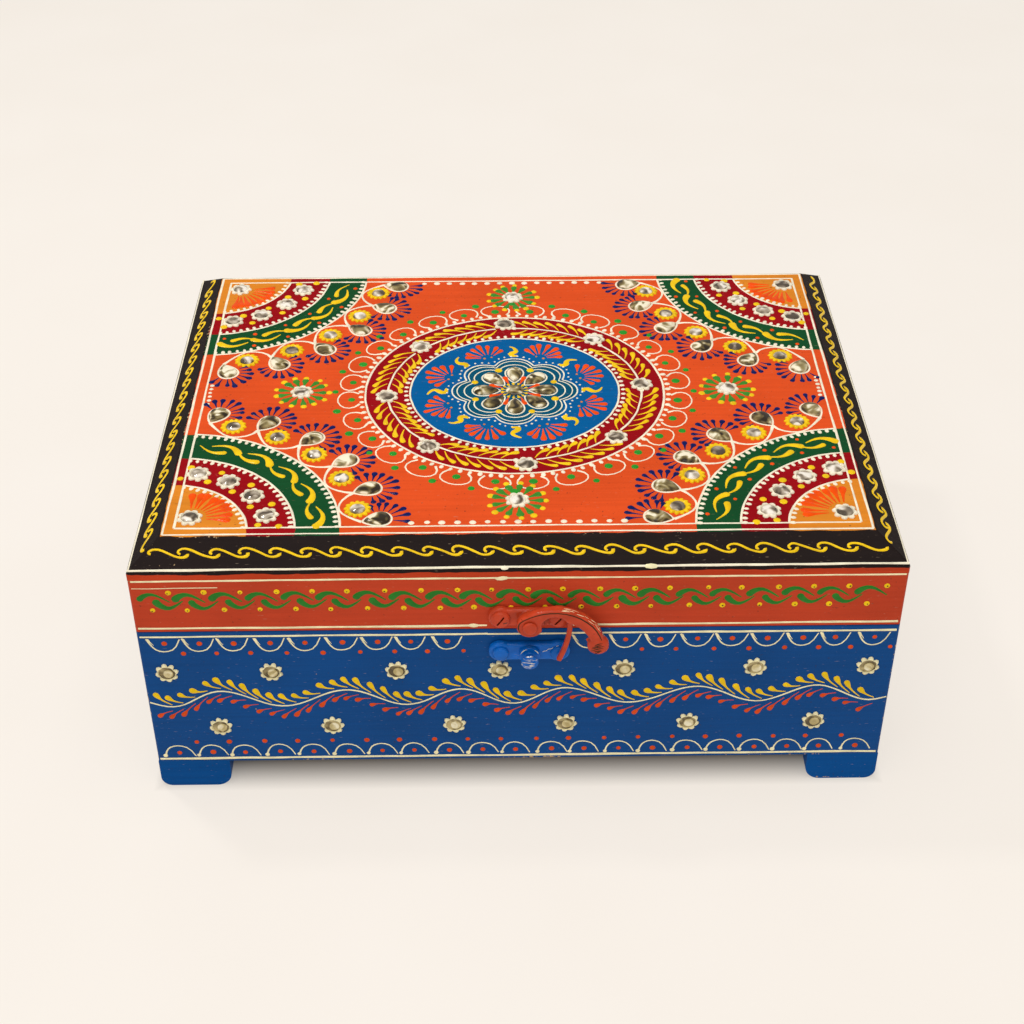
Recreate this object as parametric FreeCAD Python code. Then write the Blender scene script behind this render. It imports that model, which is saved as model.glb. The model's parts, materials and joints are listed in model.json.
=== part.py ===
import FreeCAD, Part
import math
import os

V = FreeCAD.Vector
os.makedirs("parts", exist_ok=True)

# Axes: X to the right seen from the front, Y to the back, Z up.
# The origin is on the floor under the middle of the case. Lengths are in mm.

# Case
box_width = 254.0
box_depth = 190.0
wall_height = 60.0
wall_thickness = 10.0
corner_lip = 5.0
bottom_thickness = 5.0
bottom_ledge = 5.0
edge_round = 1.0

# Feet
foot_height = 12.0
foot_width = 25.0
foot_toe_radius = 4.0
foot_heel_radius = 5.5

# Lid
lid_gap = 0.3
rail_height = 21.5
board_edge = 3.5
bevel_rise = 7.0
bevel_run = 10.3
arris_bevel = 0.6

# Floor felt
felt_thickness = 1.2
felt_gap = 0.5

# Brads, square in section, driven below the face and filled flush
brad_width = 1.2
brad_length = 18.0
brad_punch = 1.0
wall_brad_shares = (0.30, 0.82)
lid_corner_brad_share = 0.5
board_brad_x_shares = (-0.60, 0.0, 0.60)
board_brad_y_shares = (-0.45, 0.45)
bottom_brad_x_shares = (-0.55, 0.0, 0.55)
bottom_brad_y_shares = (-0.40, 0.40)

# Brads that hold the feet, driven from inside, heads under the felt
foot_brad_inset = 17.0
foot_brad_spread = 7.0
foot_brad_length = 13.0

# Hinges
hinge_offset = 72.0
hinge_width = 30.0
hinge_leaf_height = 14.0
hinge_leaf_thickness = 1.1
hinge_knuckle_radius = 2.2
hinge_pin_radius = 1.1
hinge_pin_fit = 0.06
hinge_knuckle_gap = 0.3
hinge_standoff = 0.3
hinge_middle_share = 0.36
hinge_screw_x_share = 0.30
hinge_screw_z_share = 0.62

# Low head screws of the hinges and of the latch plates
screw_shank_radius = 1.1
screw_shank_length = 8.0
screw_head_radius = 2.1
screw_head_height = 1.0
screw_sides = 6
screw_crown_share = 0.6

# Latch plates, one on the lid and one on the front wall
latch_side = 3.5
plate_thickness = 2.2
plate_screw_offset = 9.6
plate_end_radius = 4.1
plate_waist_height = 7.0
plate_edge_bevel = 0.6
pivot_above_seam = 6.0
stud_below_seam = 8.7

# Latch hook, its sizes measured from its pivot
hook_thickness = 3.0
hook_stand = 3.9
hook_play = 0.15
hook_hub_radius = 4.4
hook_band_centre_right = 8.0
hook_band_centre_drop = 10.0
hook_band_radius = 14.75
hook_band_width = 4.4
hook_knob_radius = 3.6
hook_knob_right = 22.6
hook_knob_drop = 8.7
hook_knob_thickness = 4.0
hook_knob_bevel = 1.1
hook_edge_bevel = 0.4
hook_arch_radius = 4.4
hook_arch_right = 8.2
hook_arch_drop = 0.2
hook_finger_width = 1.7
hook_finger_thickness = 1.7
hook_finger_root_right = 13.3
hook_finger_root_rise = 2.9
hook_finger_tip_right = 9.6
hook_finger_tip_drop = 15.4
hook_finger_bow = 1.0

# Latch rivet and catch stud
rivet_radius = 1.6
rivet_fit = 0.06
rivet_head_radius = 2.5
rivet_head_height = 1.0
collar_radius = 3.2
collar_height = 1.55
stud_collar_radius = 3.5
stud_collar_height = 1.85
stud_radius = 1.5
stud_stand = 6.6
stud_head_radius = 3.0
stud_head_height = 1.1
head_bevel = 0.5
stud_shank_radius = 1.2

# Glass stones, glued on
stone_sides = 8
wall_stone_sides = 6
stone_height = 1.0
stone_table_share = 0.58
stone_round_radius = 2.4
stone_centre_radius = 3.3
stone_corner_radius = 2.6
stone_wall_radius = 2.4
stone_wall_height = 0.8
pear_length = 9.2
pear_width = 5.9
pear_height = 1.2
pear_middle_share = 0.58
pear_table_share = 0.58
pear_along_shares = (0.28, 0.58, 0.86, 1.0)
pear_across_shares = (0.28, 0.50, 0.39, 0.13)
garland_pear_length = 8.2
garland_pear_width = 5.6

# Where the stones lie on the lid
mandala_pear_ring = 11.2
mandala_pear_count = 8
wreath_stone_ring = 46.6
wreath_stone_count = 8
wreath_turn_deg = 4.0
daisy_right = 77.5
daisy_back = 67.0
corner_stone_right = 8.6
corner_stone_back = 9.6
crimson_stone_ring = 35.2
crimson_stone_degs = (17.5, 37.5, 57.5, 76.5)
garland_stone_ring = 65.0
garland_stone_degs = (12.0, 28.5, 44.0, 59.5, 75.0)
garland_pear_ring = 71.5
garland_pear_degs = (6.5, 20.5, 35.5, 50.5, 66.0, 81.5)
garland_pear_lean_share = 0.70
garland_pear_lean_deg = 9.0

# Where the stones lie on the walls, as shares of the half width and of the wall height
front_upper_shares = (-0.936, -0.659, -0.325, -0.051, 0.279, 0.630, 0.931)
front_lower_shares = (-0.813, -0.508, -0.176, 0.127, 0.461, 0.805)
side_upper_shares = (-0.86, -0.43, 0.0, 0.43, 0.86)
side_lower_shares = (-0.645, -0.215, 0.215, 0.645)
stone_upper_share = 0.70
stone_lower_share = 0.28

# How far a cutting solid runs past the face that it cuts
overrun = 5.0

# Heights and half sizes that follow
half_width = box_width / 2
half_depth = box_depth / 2
wall_bottom = foot_height
rim = wall_bottom + wall_height
lid_bottom = rim + lid_gap
board_bottom = lid_bottom + rail_height
arris = board_bottom + board_edge
top = arris + bevel_rise
field_right = half_width - bevel_run
field_back = half_depth - bevel_run
inner_right = half_width - wall_thickness
inner_back = half_depth - wall_thickness
seam = rim + lid_gap / 2


def block(x0, x1, y0, y1, z0, z1):
    return Part.makeBox(x1 - x0, y1 - y0, z1 - z0, V(x0, y0, z0))


def rod(start, direction, radius, length):
    return Part.makeCylinder(radius, length, start, direction)


def save(name, shape):
    if isinstance(shape, list):
        shape = Part.makeCompound(shape)
    shape.exportStep("parts/" + name + ".step")


def less(shape, cutters):
    for cutter in cutters:
        shape = shape.cut(cutter)
    return shape.removeSplitter()


def upright_edges(shape, x, y):
    found = []
    for edge in shape.Edges:
        a = edge.Vertexes[0].Point
        b = edge.Vertexes[-1].Point
        if abs(a.z - b.z) > edge_round and abs(a.x - x) + abs(a.y - y) + abs(b.x - x) + abs(b.y - y) < arris_bevel:
            found.append(edge)
    return found


# Brads of the case and of the lid
def brad(start, direction, length):
    half = brad_width / 2
    end = start + direction * length
    low = V(min(start.x, end.x), min(start.y, end.y), min(start.z, end.z))
    high = V(max(start.x, end.x), max(start.y, end.y), max(start.z, end.z))
    grow_x = half * (direction.x == 0)
    grow_y = half * (direction.y == 0)
    grow_z = half * (direction.z == 0)
    return block(low.x - grow_x, high.x + grow_x, low.y - grow_y, high.y + grow_y, low.z - grow_z, high.z + grow_z)


def corner_brads(heights):
    brads = []
    for side in (-1, 1):
        for back in (-1, 1):
            for z in heights:
                start = V(side * (half_width - wall_thickness / 2), back * (half_depth - brad_punch), z)
                brads.append(brad(start, V(0, -back, 0), brad_length))
    return brads


def edge_brads(x_shares, y_shares, inset, z, up):
    brads = []
    for back in (-1, 1):
        for share in x_shares:
            brads.append(brad(V(share * half_width, back * (half_depth - inset), z), V(0, 0, up), brad_length))
    for side in (-1, 1):
        for share in y_shares:
            brads.append(brad(V(side * (half_width - inset), share * half_depth, z), V(0, 0, up), brad_length))
    return brads


wall_brads = corner_brads([wall_bottom + share * wall_height for share in wall_brad_shares])
lid_corner_brads = corner_brads([lid_bottom + lid_corner_brad_share * rail_height])
ledge_inset = wall_thickness - bottom_ledge / 2
bottom_brads = edge_brads(bottom_brad_x_shares, bottom_brad_y_shares, ledge_inset, wall_bottom + brad_punch, 1)
brad_top = arris + bevel_rise * (wall_thickness / 2) / bevel_run - brad_punch
board_brads = edge_brads(board_brad_x_shares, board_brad_y_shares, wall_thickness / 2, brad_top, -1)

panel_top = wall_bottom + bottom_thickness
foot_brads = []
for side in (-1, 1):
    for back in (-1, 1):
        for step in (-1, 1):
            x = side * (half_width - foot_brad_inset) + step * foot_brad_spread / 2
            y = back * (half_depth - foot_brad_inset) - side * back * step * foot_brad_spread / 2
            foot_brads.append(brad(V(x, y, panel_top), V(0, 0, -1), foot_brad_length))


# A closed solid of flat faces through rings of as many points each
def faceted(rings):
    faces = [Part.Face(Part.makePolygon(ring + ring[:1])) for ring in (rings[0], rings[-1])]
    for low, high in zip(rings, rings[1:]):
        for i in range(len(low)):
            k = (i + 1) % len(low)
            faces.append(Part.Face(Part.makePolygon([low[i], low[k], high[k], high[i], low[i]])))
    solid = Part.makeSolid(Part.makeShell(faces))
    if solid.Volume < 0:
        solid.reverse()
    return solid


def ring_points(centre, radius, sides, first, second):
    points = []
    for i in range(sides):
        turn = 2 * math.pi * (i + 0.5) / sides
        points.append(centre + first * (radius * math.cos(turn)) + second * (radius * math.sin(turn)))
    return points


# Screws, drawn from the face under the head; threads and slots are left out
def low_screw(face, outward):
    x = V(1, 0, 0)
    z = V(0, 0, 1)
    end = face - outward * screw_shank_length
    shank = faceted([ring_points(p, screw_shank_radius, screw_sides, x, z) for p in (end, face)])
    crown = face + outward * screw_head_height
    base_ring = ring_points(face, screw_head_radius, screw_sides, x, z)
    crown_ring = ring_points(crown, screw_head_radius * screw_crown_share, screw_sides, x, z)
    head = faceted([base_ring, crown_ring])
    return shank.fuse(head).removeSplitter()


# Hinges on the back
back_out = V(0, 1, 0)
hinge_y = half_depth + hinge_standoff + hinge_knuckle_radius
middle_half = hinge_width * hinge_middle_share / 2
hinges = {}
hinge_body_screws = []
hinge_lid_screws = []


def hinge_leaf(x, up, own_spans, bore_radius, screws):
    near = hinge_knuckle_radius + hinge_knuckle_gap
    z_low = min(seam + up * near, seam + up * hinge_leaf_height)
    z_high = max(seam + up * near, seam + up * hinge_leaf_height)
    plate_out = half_depth + hinge_leaf_thickness
    leaf = block(x - hinge_width / 2, x + hinge_width / 2, half_depth, plate_out, z_low, z_high)
    for a, b in own_spans:
        z_a = min(seam, seam + up * near)
        z_b = max(seam, seam + up * near)
        leaf = leaf.fuse(block(x + a, x + b, half_depth, plate_out, z_a, z_b))
        leaf = leaf.fuse(rod(V(x + a, hinge_y, seam), V(1, 0, 0), hinge_knuckle_radius, b - a))
    start = V(x - hinge_width / 2 - overrun, hinge_y, seam)
    leaf = leaf.cut(rod(start, V(1, 0, 0), bore_radius, hinge_width + 2 * overrun))
    return less(leaf, screws)


for name, x in (("left", -hinge_offset), ("right", hinge_offset)):
    sets = {}
    for up in (-1, 1):
        z = seam + up * hinge_leaf_height * hinge_screw_z_share
        face_y = half_depth + hinge_leaf_thickness
        sets[up] = [low_screw(V(x + s * hinge_width * hinge_screw_x_share, face_y, z), back_out) for s in (-1, 1)]
    outer = [
        (-hinge_width / 2, -middle_half - hinge_knuckle_gap),
        (middle_half + hinge_knuckle_gap, hinge_width / 2),
    ]
    body_leaf = hinge_leaf(x, -1, outer, hinge_pin_radius, sets[-1])
    lid_leaf = hinge_leaf(x, 1, [(-middle_half, middle_half)], hinge_pin_radius + hinge_pin_fit, sets[1])
    pin = rod(V(x - hinge_width / 2, hinge_y, seam), V(1, 0, 0), hinge_pin_radius, hinge_width)
    save(name + "_hinge_body_leaf", body_leaf)
    save(name + "_hinge_lid_leaf", lid_leaf)
    save(name + "_hinge_pin", pin)
    hinge_body_screws += sets[-1]
    hinge_lid_screws += sets[1]

# Latch plates
front_out = V(0, -1, 0)
pivot = V(latch_side, -half_depth, lid_bottom + pivot_above_seam)
catch = V(latch_side, -half_depth, rim - stud_below_seam)


def front_edges(shape, front_y):
    return [e for e in shape.Edges if abs(e.BoundBox.YMax - front_y) < overrun * 1e-6]


def front_bevelled(shape, front_y, size):
    return shape.makeChamfer(size, front_edges(shape, front_y))


def latch_plate(middle, extra):
    front_y = middle.y - plate_thickness
    ends = []
    for s in (-1, 1):
        end = rod(middle + V(s * plate_screw_offset, 0, 0), front_out, plate_end_radius, plate_thickness)
        ends.append(front_bevelled(end, front_y, plate_edge_bevel))
    waist = block(
        middle.x - plate_screw_offset,
        middle.x + plate_screw_offset,
        front_y,
        middle.y,
        middle.z - plate_waist_height / 2,
        middle.z + plate_waist_height / 2,
    )
    long_edges = [e for e in front_edges(waist, front_y) if e.Length > plate_screw_offset]
    plate = waist.makeChamfer(plate_edge_bevel, long_edges).fuse(ends).removeSplitter()
    if extra:
        plate = plate.fuse(extra).removeSplitter()
    return plate


def plate_screws(middle):
    face = middle + front_out * plate_thickness
    return [low_screw(face + V(s * plate_screw_offset, 0, 0), front_out) for s in (-1, 1)]


latch_screws = plate_screws(pivot)
catch_screws = plate_screws(catch)

rivet = rod(pivot, front_out, rivet_radius, hook_stand + hook_thickness + hook_play)
rivet_head_at = pivot + front_out * (hook_stand + hook_thickness + hook_play)
rivet_head = rod(rivet_head_at, front_out, rivet_head_radius, rivet_head_height)
rivet_head = front_bevelled(rivet_head, rivet_head_at.y - rivet_head_height, head_bevel)
rivet = rivet.fuse(rivet_head).removeSplitter()

collar = rod(pivot + front_out * plate_thickness, front_out, collar_radius, collar_height)
lid_plate = less(latch_plate(pivot, collar), [rivet] + latch_screws)

stud = rod(catch, front_out, stud_shank_radius, plate_thickness)
stud = stud.fuse(rod(catch + front_out * plate_thickness, front_out, stud_collar_radius, stud_collar_height))
stud_foot = plate_thickness + stud_collar_height
stud = stud.fuse(rod(catch + front_out * stud_foot, front_out, stud_radius, stud_stand - stud_foot))
stud_head_at = catch + front_out * stud_stand
stud_head = rod(stud_head_at, front_out, stud_head_radius, stud_head_height)
stud_head = front_bevelled(stud_head, stud_head_at.y - stud_head_height, head_bevel)
stud = stud.fuse(stud_head).removeSplitter()
body_plate = less(latch_plate(catch, None), [stud] + catch_screws)

# Latch hook in the pose of the photograph, arm to the right
hook_back = pivot + front_out * hook_stand
band_centre = hook_back + V(hook_band_centre_right, 0, -hook_band_centre_drop)
band = rod(band_centre, front_out, hook_band_radius + hook_band_width / 2, hook_thickness)
band = front_bevelled(band, hook_back.y - hook_thickness, hook_edge_bevel)
band = band.cut(rod(band_centre, front_out, hook_band_radius - hook_band_width / 2, hook_thickness))
knob_centre = hook_back + V(hook_knob_right, 0, -hook_knob_drop)
reach = hook_band_radius + hook_band_width
wedge = Part.Face(
    Part.makePolygon(
        [
            band_centre,
            band_centre + (V(pivot.x, hook_back.y, pivot.z) - band_centre) * 2,
            band_centre + V(0, 0, 2 * reach),
            band_centre + V(2 * reach, 0, 2 * reach),
            band_centre + (knob_centre - band_centre) * 2,
            band_centre,
        ]
    )
).extrude(front_out * hook_thickness)
band = band.common(wedge)
hub = rod(hook_back, front_out, hook_hub_radius, hook_thickness)
hook = band.fuse(front_bevelled(hub, hook_back.y - hook_thickness, hook_edge_bevel))
arch_centre = hook_back + V(hook_arch_right, 0, -hook_arch_drop)
hook = hook.cut(rod(arch_centre, front_out, hook_arch_radius, hook_thickness)).removeSplitter()
knob_out = (hook_knob_thickness - hook_thickness) / 2
knob = rod(knob_centre - front_out * knob_out, front_out, hook_knob_radius, hook_knob_thickness)
knob = knob.makeChamfer(hook_knob_bevel, [e for e in knob.Edges if len(e.Vertexes) == 1])
hook = hook.fuse(knob)
finger_back = hook_back + front_out * ((hook_thickness - hook_finger_thickness) / 2)
root = finger_back + V(hook_finger_root_right, 0, hook_finger_root_rise)
tip = finger_back + V(hook_finger_tip_right, 0, -hook_finger_tip_drop)
chord = tip - root
across = V(-chord.z, 0, chord.x).normalize()
finger_radius = (chord.Length**2 / 4 + hook_finger_bow**2) / (2 * hook_finger_bow)
finger_centre = (root + tip) * 0.5 - across * (finger_radius - hook_finger_bow)
finger = rod(finger_centre, front_out, finger_radius + hook_finger_width / 2, hook_finger_thickness)
finger = finger.cut(rod(finger_centre, front_out, finger_radius - hook_finger_width / 2, hook_finger_thickness))
fan = Part.Face(
    Part.makePolygon(
        [
            finger_centre,
            finger_centre + (root - finger_centre) * 2,
            finger_centre + (tip - finger_centre) * 2,
            finger_centre,
        ]
    )
)
finger = finger.common(fan.extrude(front_out * hook_finger_thickness))
hook = hook.fuse(finger)
hook = hook.cut(rod(hook_back, front_out, rivet_radius + rivet_fit, hook_thickness)).removeSplitter()

# Bottom panel and walls
panel_right = inner_right + bottom_ledge
panel_back = inner_back + bottom_ledge
panel_block = block(-panel_right, panel_right, -panel_back, panel_back, wall_bottom, panel_top)
bottom_panel = less(panel_block, bottom_brads + foot_brads)


def long_wall(back, z0, z1, cutters):
    y0 = min(back * half_depth, back * inner_back)
    y1 = max(back * half_depth, back * inner_back)
    wall = block(-half_width, half_width, y0, y1, z0, z1)
    lip_y = back * (half_depth - corner_lip)
    for side in (-1, 1):
        wall = wall.cut(
            block(
                min(side * (half_width + overrun), side * inner_right),
                max(side * (half_width + overrun), side * inner_right),
                min(lip_y, back * (inner_back - overrun)),
                max(lip_y, back * (inner_back - overrun)),
                z0 - overrun,
                z1 + overrun,
            )
        )
    corners = []
    for side in (-1, 1):
        corners += upright_edges(wall, side * half_width, back * half_depth)
    wall = wall.makeFillet(edge_round, corners)
    return less(wall, cutters)


def end_wall(side, z0, z1, cutters):
    x0 = min(side * half_width, side * inner_right)
    x1 = max(side * half_width, side * inner_right)
    reach_y = half_depth - corner_lip
    return less(block(x0, x1, -reach_y, reach_y, z0, z1), cutters)


wall_cutters = [panel_block] + wall_brads + bottom_brads
save("front_wall", long_wall(-1, wall_bottom, rim, wall_cutters + catch_screws))
save("back_wall", long_wall(1, wall_bottom, rim, wall_cutters + hinge_body_screws))
save("left_wall", end_wall(-1, wall_bottom, rim, wall_cutters))
save("right_wall", end_wall(1, wall_bottom, rim, wall_cutters))
save("bottom_panel", bottom_panel)

rail_cutters = lid_corner_brads + board_brads
save("lid_front_rail", long_wall(-1, lid_bottom, board_bottom, rail_cutters + latch_screws))
save("lid_back_rail", long_wall(1, lid_bottom, board_bottom, rail_cutters + hinge_lid_screws))
save("lid_left_rail", end_wall(-1, lid_bottom, board_bottom, rail_cutters))
save("lid_right_rail", end_wall(1, lid_bottom, board_bottom, rail_cutters))


# Lid board, bevelled to a raised field, with every outer edge eased
def eased_rectangle(right, back, z):
    points = []
    for side, rear in ((-1, -1), (1, -1), (1, 1), (-1, 1)):
        along_x = V(side * (right - arris_bevel), rear * back, z)
        along_y = V(side * right, rear * (back - arris_bevel), z)
        points += [along_y, along_x] if side == rear else [along_x, along_y]
    return points


eased_rise = arris_bevel * bevel_rise / bevel_run
board = faceted(
    [
        eased_rectangle(half_width, half_depth, board_bottom),
        eased_rectangle(half_width, half_depth, arris - arris_bevel),
        eased_rectangle(half_width - arris_bevel, half_depth - arris_bevel, arris + eased_rise),
        eased_rectangle(field_right + arris_bevel, field_back + arris_bevel, top - eased_rise),
        eased_rectangle(field_right - arris_bevel, field_back - arris_bevel, top),
    ]
)
save("lid_top_board", less(board, board_brads))

# Feet, blocks with their lower corners rounded seen from the front
def foot_outline():
    k = 1 - math.sqrt(0.5)
    toe = foot_toe_radius
    heel = foot_heel_radius
    a = V(0, 0, foot_height)
    b = V(0, 0, toe)
    c = V(toe, 0, 0)
    d = V(foot_width - heel, 0, 0)
    e = V(foot_width, 0, heel)
    f = V(foot_width, 0, foot_height)
    toe_arc = Part.Arc(b, V(k * toe, 0, k * toe), c).toShape()
    heel_arc = Part.Arc(d, V(foot_width - k * heel, 0, k * heel), e).toShape()
    lines = [Part.makeLine(a, b), toe_arc, Part.makeLine(c, d), heel_arc, Part.makeLine(e, f), Part.makeLine(f, a)]
    return Part.Wire(lines)


foot = Part.Face(foot_outline()).extrude(V(0, foot_width, 0))
for name, side, back in (
    ("front_left_foot", -1, -1),
    ("front_right_foot", 1, -1),
    ("back_left_foot", -1, 1),
    ("back_right_foot", 1, 1),
):
    one = foot.copy()
    if side > 0:
        one = one.mirror(V(0, 0, 0), V(1, 0, 0))
    if back > 0:
        one = one.mirror(V(0, 0, 0), V(0, 1, 0))
    one.translate(V(side * half_width, back * half_depth, 0))
    save(name, less(one, foot_brads))

# Floor felt
felt_right = inner_right - felt_gap
felt_back = inner_back - felt_gap
save("floor_felt", block(-felt_right, felt_right, -felt_back, felt_back, panel_top, panel_top + felt_thickness))


# Glass stones
def round_stone(radius, height, sides):
    x = V(1, 0, 0)
    y = V(0, 1, 0)
    low = ring_points(V(0, 0, 0), radius, sides, x, y)
    high = ring_points(V(0, 0, height), radius * stone_table_share, sides, x, y)
    return faceted([low, high])


def pear_stone(length, width):
    right = [V(-pear_middle_share * length, 0, 0)]
    left = []
    for along_share, across_share in zip(pear_along_shares, pear_across_shares):
        x = (along_share - pear_middle_share) * length
        right.append(V(x, -across_share * width, 0))
        left.insert(0, V(x, across_share * width, 0))
    low = right + left
    high = [p * pear_table_share + V(0, 0, pear_height) for p in low]
    return faceted([low, high])


def on_lid(stone, x, y, deg):
    laid = stone.copy()
    laid.rotate(V(0, 0, 0), V(0, 0, 1), deg)
    laid.translate(V(x, y, top))
    return laid


def at_angle(radius, deg):
    return radius * math.cos(math.radians(deg)), radius * math.sin(math.radians(deg))


small = round_stone(stone_round_radius, stone_height, stone_sides)
corner_stone = round_stone(stone_corner_radius, stone_height, stone_sides)
mandala_pear = pear_stone(pear_length, pear_width)
garland_pear = pear_stone(garland_pear_length, garland_pear_width)

save("lid_centre_stone", on_lid(round_stone(stone_centre_radius, stone_height, stone_sides), 0, 0, 0))
petals = []
for i in range(mandala_pear_count):
    deg = 360 * i / mandala_pear_count + 90
    x, y = at_angle(mandala_pear_ring, deg)
    petals.append(on_lid(mandala_pear, x, y, deg))
save("lid_mandala_pears", petals)

wreath = []
for i in range(wreath_stone_count):
    x, y = at_angle(wreath_stone_ring, 360 * i / wreath_stone_count + 90 + wreath_turn_deg)
    wreath.append(on_lid(small, x, y, 0))
save("lid_wreath_stones", wreath)

daisies = [on_lid(small, s * daisy_right, 0, 0) for s in (-1, 1)]
daisies += [on_lid(small, 0, s * daisy_back, 0) for s in (-1, 1)]
save("lid_daisy_stones", daisies)

corner_stones = []
crimson_stones = []
garland_stones = []
garland_pears = []
for side in (-1, 1):
    for back in (-1, 1):
        corner_x = side * field_right
        corner_y = back * field_back

        def from_corner(stone, dx, dy, deg=0):
            heading = math.degrees(math.atan2(-back * math.sin(math.radians(deg)), -side * math.cos(math.radians(deg))))
            return on_lid(stone, corner_x - side * dx, corner_y - back * dy, heading)

        corner_stones.append(from_corner(corner_stone, corner_stone_right, corner_stone_back))
        for deg in crimson_stone_degs:
            crimson_stones.append(from_corner(small, *at_angle(crimson_stone_ring, deg)))
        for deg in garland_stone_degs:
            garland_stones.append(from_corner(small, *at_angle(garland_stone_ring, deg)))
        for deg in garland_pear_degs:
            heading = garland_pear_lean_share * deg + garland_pear_lean_deg
            garland_pears.append(from_corner(garland_pear, *at_angle(garland_pear_ring, deg), heading))
save("lid_corner_stones", corner_stones)
save("lid_crimson_stones", crimson_stones)
save("lid_garland_stones", garland_stones)
save("lid_garland_pears", garland_pears)


def on_wall(stone, turn, out, along, z):
    laid = stone.copy()
    laid.rotate(V(0, 0, 0), V(1, 0, 0), 90)
    laid.translate(V(along, -out, z))
    laid.rotate(V(0, 0, 0), V(0, 0, 1), turn)
    return laid


wall_stone = round_stone(stone_wall_radius, stone_wall_height, wall_stone_sides)
for name, turn, out, along, upper, lower in (
    ("front_wall_stones", 0, half_depth, half_width, front_upper_shares, front_lower_shares),
    ("right_wall_stones", 90, half_width, half_depth, side_upper_shares, side_lower_shares),
    ("left_wall_stones", 270, half_width, half_depth, side_upper_shares, side_lower_shares),
):
    stones = []
    for shares, height_share in ((upper, stone_upper_share), (lower, stone_lower_share)):
        for share in shares:
            z = wall_bottom + height_share * wall_height
            stones.append(on_wall(wall_stone, turn, out, share * along, z))
    save(name, stones)

# Fixings and latch
save("wall_brads", wall_brads)
save("lid_corner_brads", lid_corner_brads)
save("lid_board_brads", board_brads)
save("bottom_brads", bottom_brads)
save("foot_brads", foot_brads)
save("hinge_body_screws", hinge_body_screws)
save("hinge_lid_screws", hinge_lid_screws)
save("latch_plate", lid_plate)
save("latch_plate_screws", latch_screws)
save("latch_rivet", rivet)
save("latch_hook", hook)
save("catch_plate", body_plate)
save("catch_plate_screws", catch_screws)
save("catch_stud", stud)
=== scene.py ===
"""Looks of a hand-painted keepsake chest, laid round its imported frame."""

import json
import math
import random

import bpy
from bpy.props import FloatProperty, FloatVectorProperty, PointerProperty
from mathutils import Matrix, Vector


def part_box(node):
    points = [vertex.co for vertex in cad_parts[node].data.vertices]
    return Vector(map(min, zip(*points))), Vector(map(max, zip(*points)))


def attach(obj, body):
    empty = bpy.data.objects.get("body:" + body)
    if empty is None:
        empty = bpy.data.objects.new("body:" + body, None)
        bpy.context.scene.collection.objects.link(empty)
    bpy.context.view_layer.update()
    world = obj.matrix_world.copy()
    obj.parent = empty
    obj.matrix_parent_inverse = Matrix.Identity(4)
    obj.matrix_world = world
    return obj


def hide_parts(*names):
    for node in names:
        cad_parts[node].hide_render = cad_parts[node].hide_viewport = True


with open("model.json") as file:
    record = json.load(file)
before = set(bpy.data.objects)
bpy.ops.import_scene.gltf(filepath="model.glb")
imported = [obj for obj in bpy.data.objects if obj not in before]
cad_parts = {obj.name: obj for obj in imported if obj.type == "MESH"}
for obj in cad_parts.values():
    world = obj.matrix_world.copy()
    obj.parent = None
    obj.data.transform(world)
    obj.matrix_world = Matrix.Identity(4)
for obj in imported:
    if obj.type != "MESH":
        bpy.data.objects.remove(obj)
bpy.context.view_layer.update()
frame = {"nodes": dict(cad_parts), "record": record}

bl_info = {
    "name": "Painted Keepsake Chest",
    "version": (1, 0, 0),
    "blender": (4, 5, 0),
    "location": "View3D > Sidebar > Chest",
    "description": "Paints, gems and fittings of a folk-painted wooden chest",
    "category": "Object",
}

# Places are in millimetres, X to the right, Y to the back, Z up
MM = 0.001
RIGHT = Vector((1, 0, 0))
BACK = Vector((0, 1, 0))
UP = Vector((0, 0, 1))
HALF_X, HALF_Y, TOP = (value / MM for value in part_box("lid_top_board")[1])
BEVEL_RUN = 10.3
BEVEL_RISE = 7.0
# Height of the edge under the bevel, and half sizes of the flat field inside it
ARRIS = TOP - BEVEL_RISE
FIELD_X = HALF_X - BEVEL_RUN
FIELD_Y = HALF_Y - BEVEL_RUN
CORNERS = ((-1, -1), (1, -1), (1, 1), (-1, 1))
LATCH_X = 3.5
PIVOT_Z = 78.3
STUD_Z = 63.3
# How far the latch plates stand out from the wall, and how far to each side their screws are
PLATE_OUT = 2.2
PLATE_SCREW = 9.6
# Middle of the hook's curve and of its round knob, seen from the pivot
HOOK_MIDDLE = (8.0, -10.0)
KNOB_MIDDLE = (22.6, -8.7)
HINGES_X = (-72.0, 72.0)
# The painter's wreath is a little wider than it is deep
WREATH_X = 1.015
WREATH_Y = 0.965

# No stroke of paint stands higher than this
PAINT_LIMIT = 0.42
# Points closer than this, in metres, are one point
TOUCHING = 2e-6
# The walls' blue made brighter for the fittings: painted light, making up for the hook's shade and the
# missing highlights on the catch
LIT_FITTING_BLUE = "#0861BB"

# The four sides: direction to the right seen from outside, direction out, half length, distance
SIDES = {
    "front": (RIGHT, -BACK, HALF_X, HALF_Y),
    "right": (BACK, RIGHT, HALF_Y, HALF_X),
    "back": (-RIGHT, BACK, HALF_X, HALF_Y),
    "left": (-BACK, -RIGHT, HALF_Y, HALF_X),
}
HALVES = {side: half for side, (right, out, half, far) in SIDES.items()}
# Where the latch and the hinges break the lines along the sides
LINE_GAPS = {
    "front": (LATCH_X - 14, LATCH_X + 13),
    "back": [x + way * 16 for x in HINGES_X for way in (-1, 1)],
}
# Radii of the cream lines round the bands in the lid's corners
CORNER_BANDS = (28.2, 43.8, 58.5)
# Heights of the lines on the walls, of the stem between them and of its swing
UPPER_LINE = 69.9
LOWER_LINE = 13.3
STEM_Z = 41.7
STEM_SWING = 3.7
# Places along a wall where the stem turns, down and up
STEM_BENDS = (-139, -118.6, -102.2, -80.6, -59, -38, -19.7, -2, 15.7, 38, 60.9, 81.9, 102.2, 120.5, 141)

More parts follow.
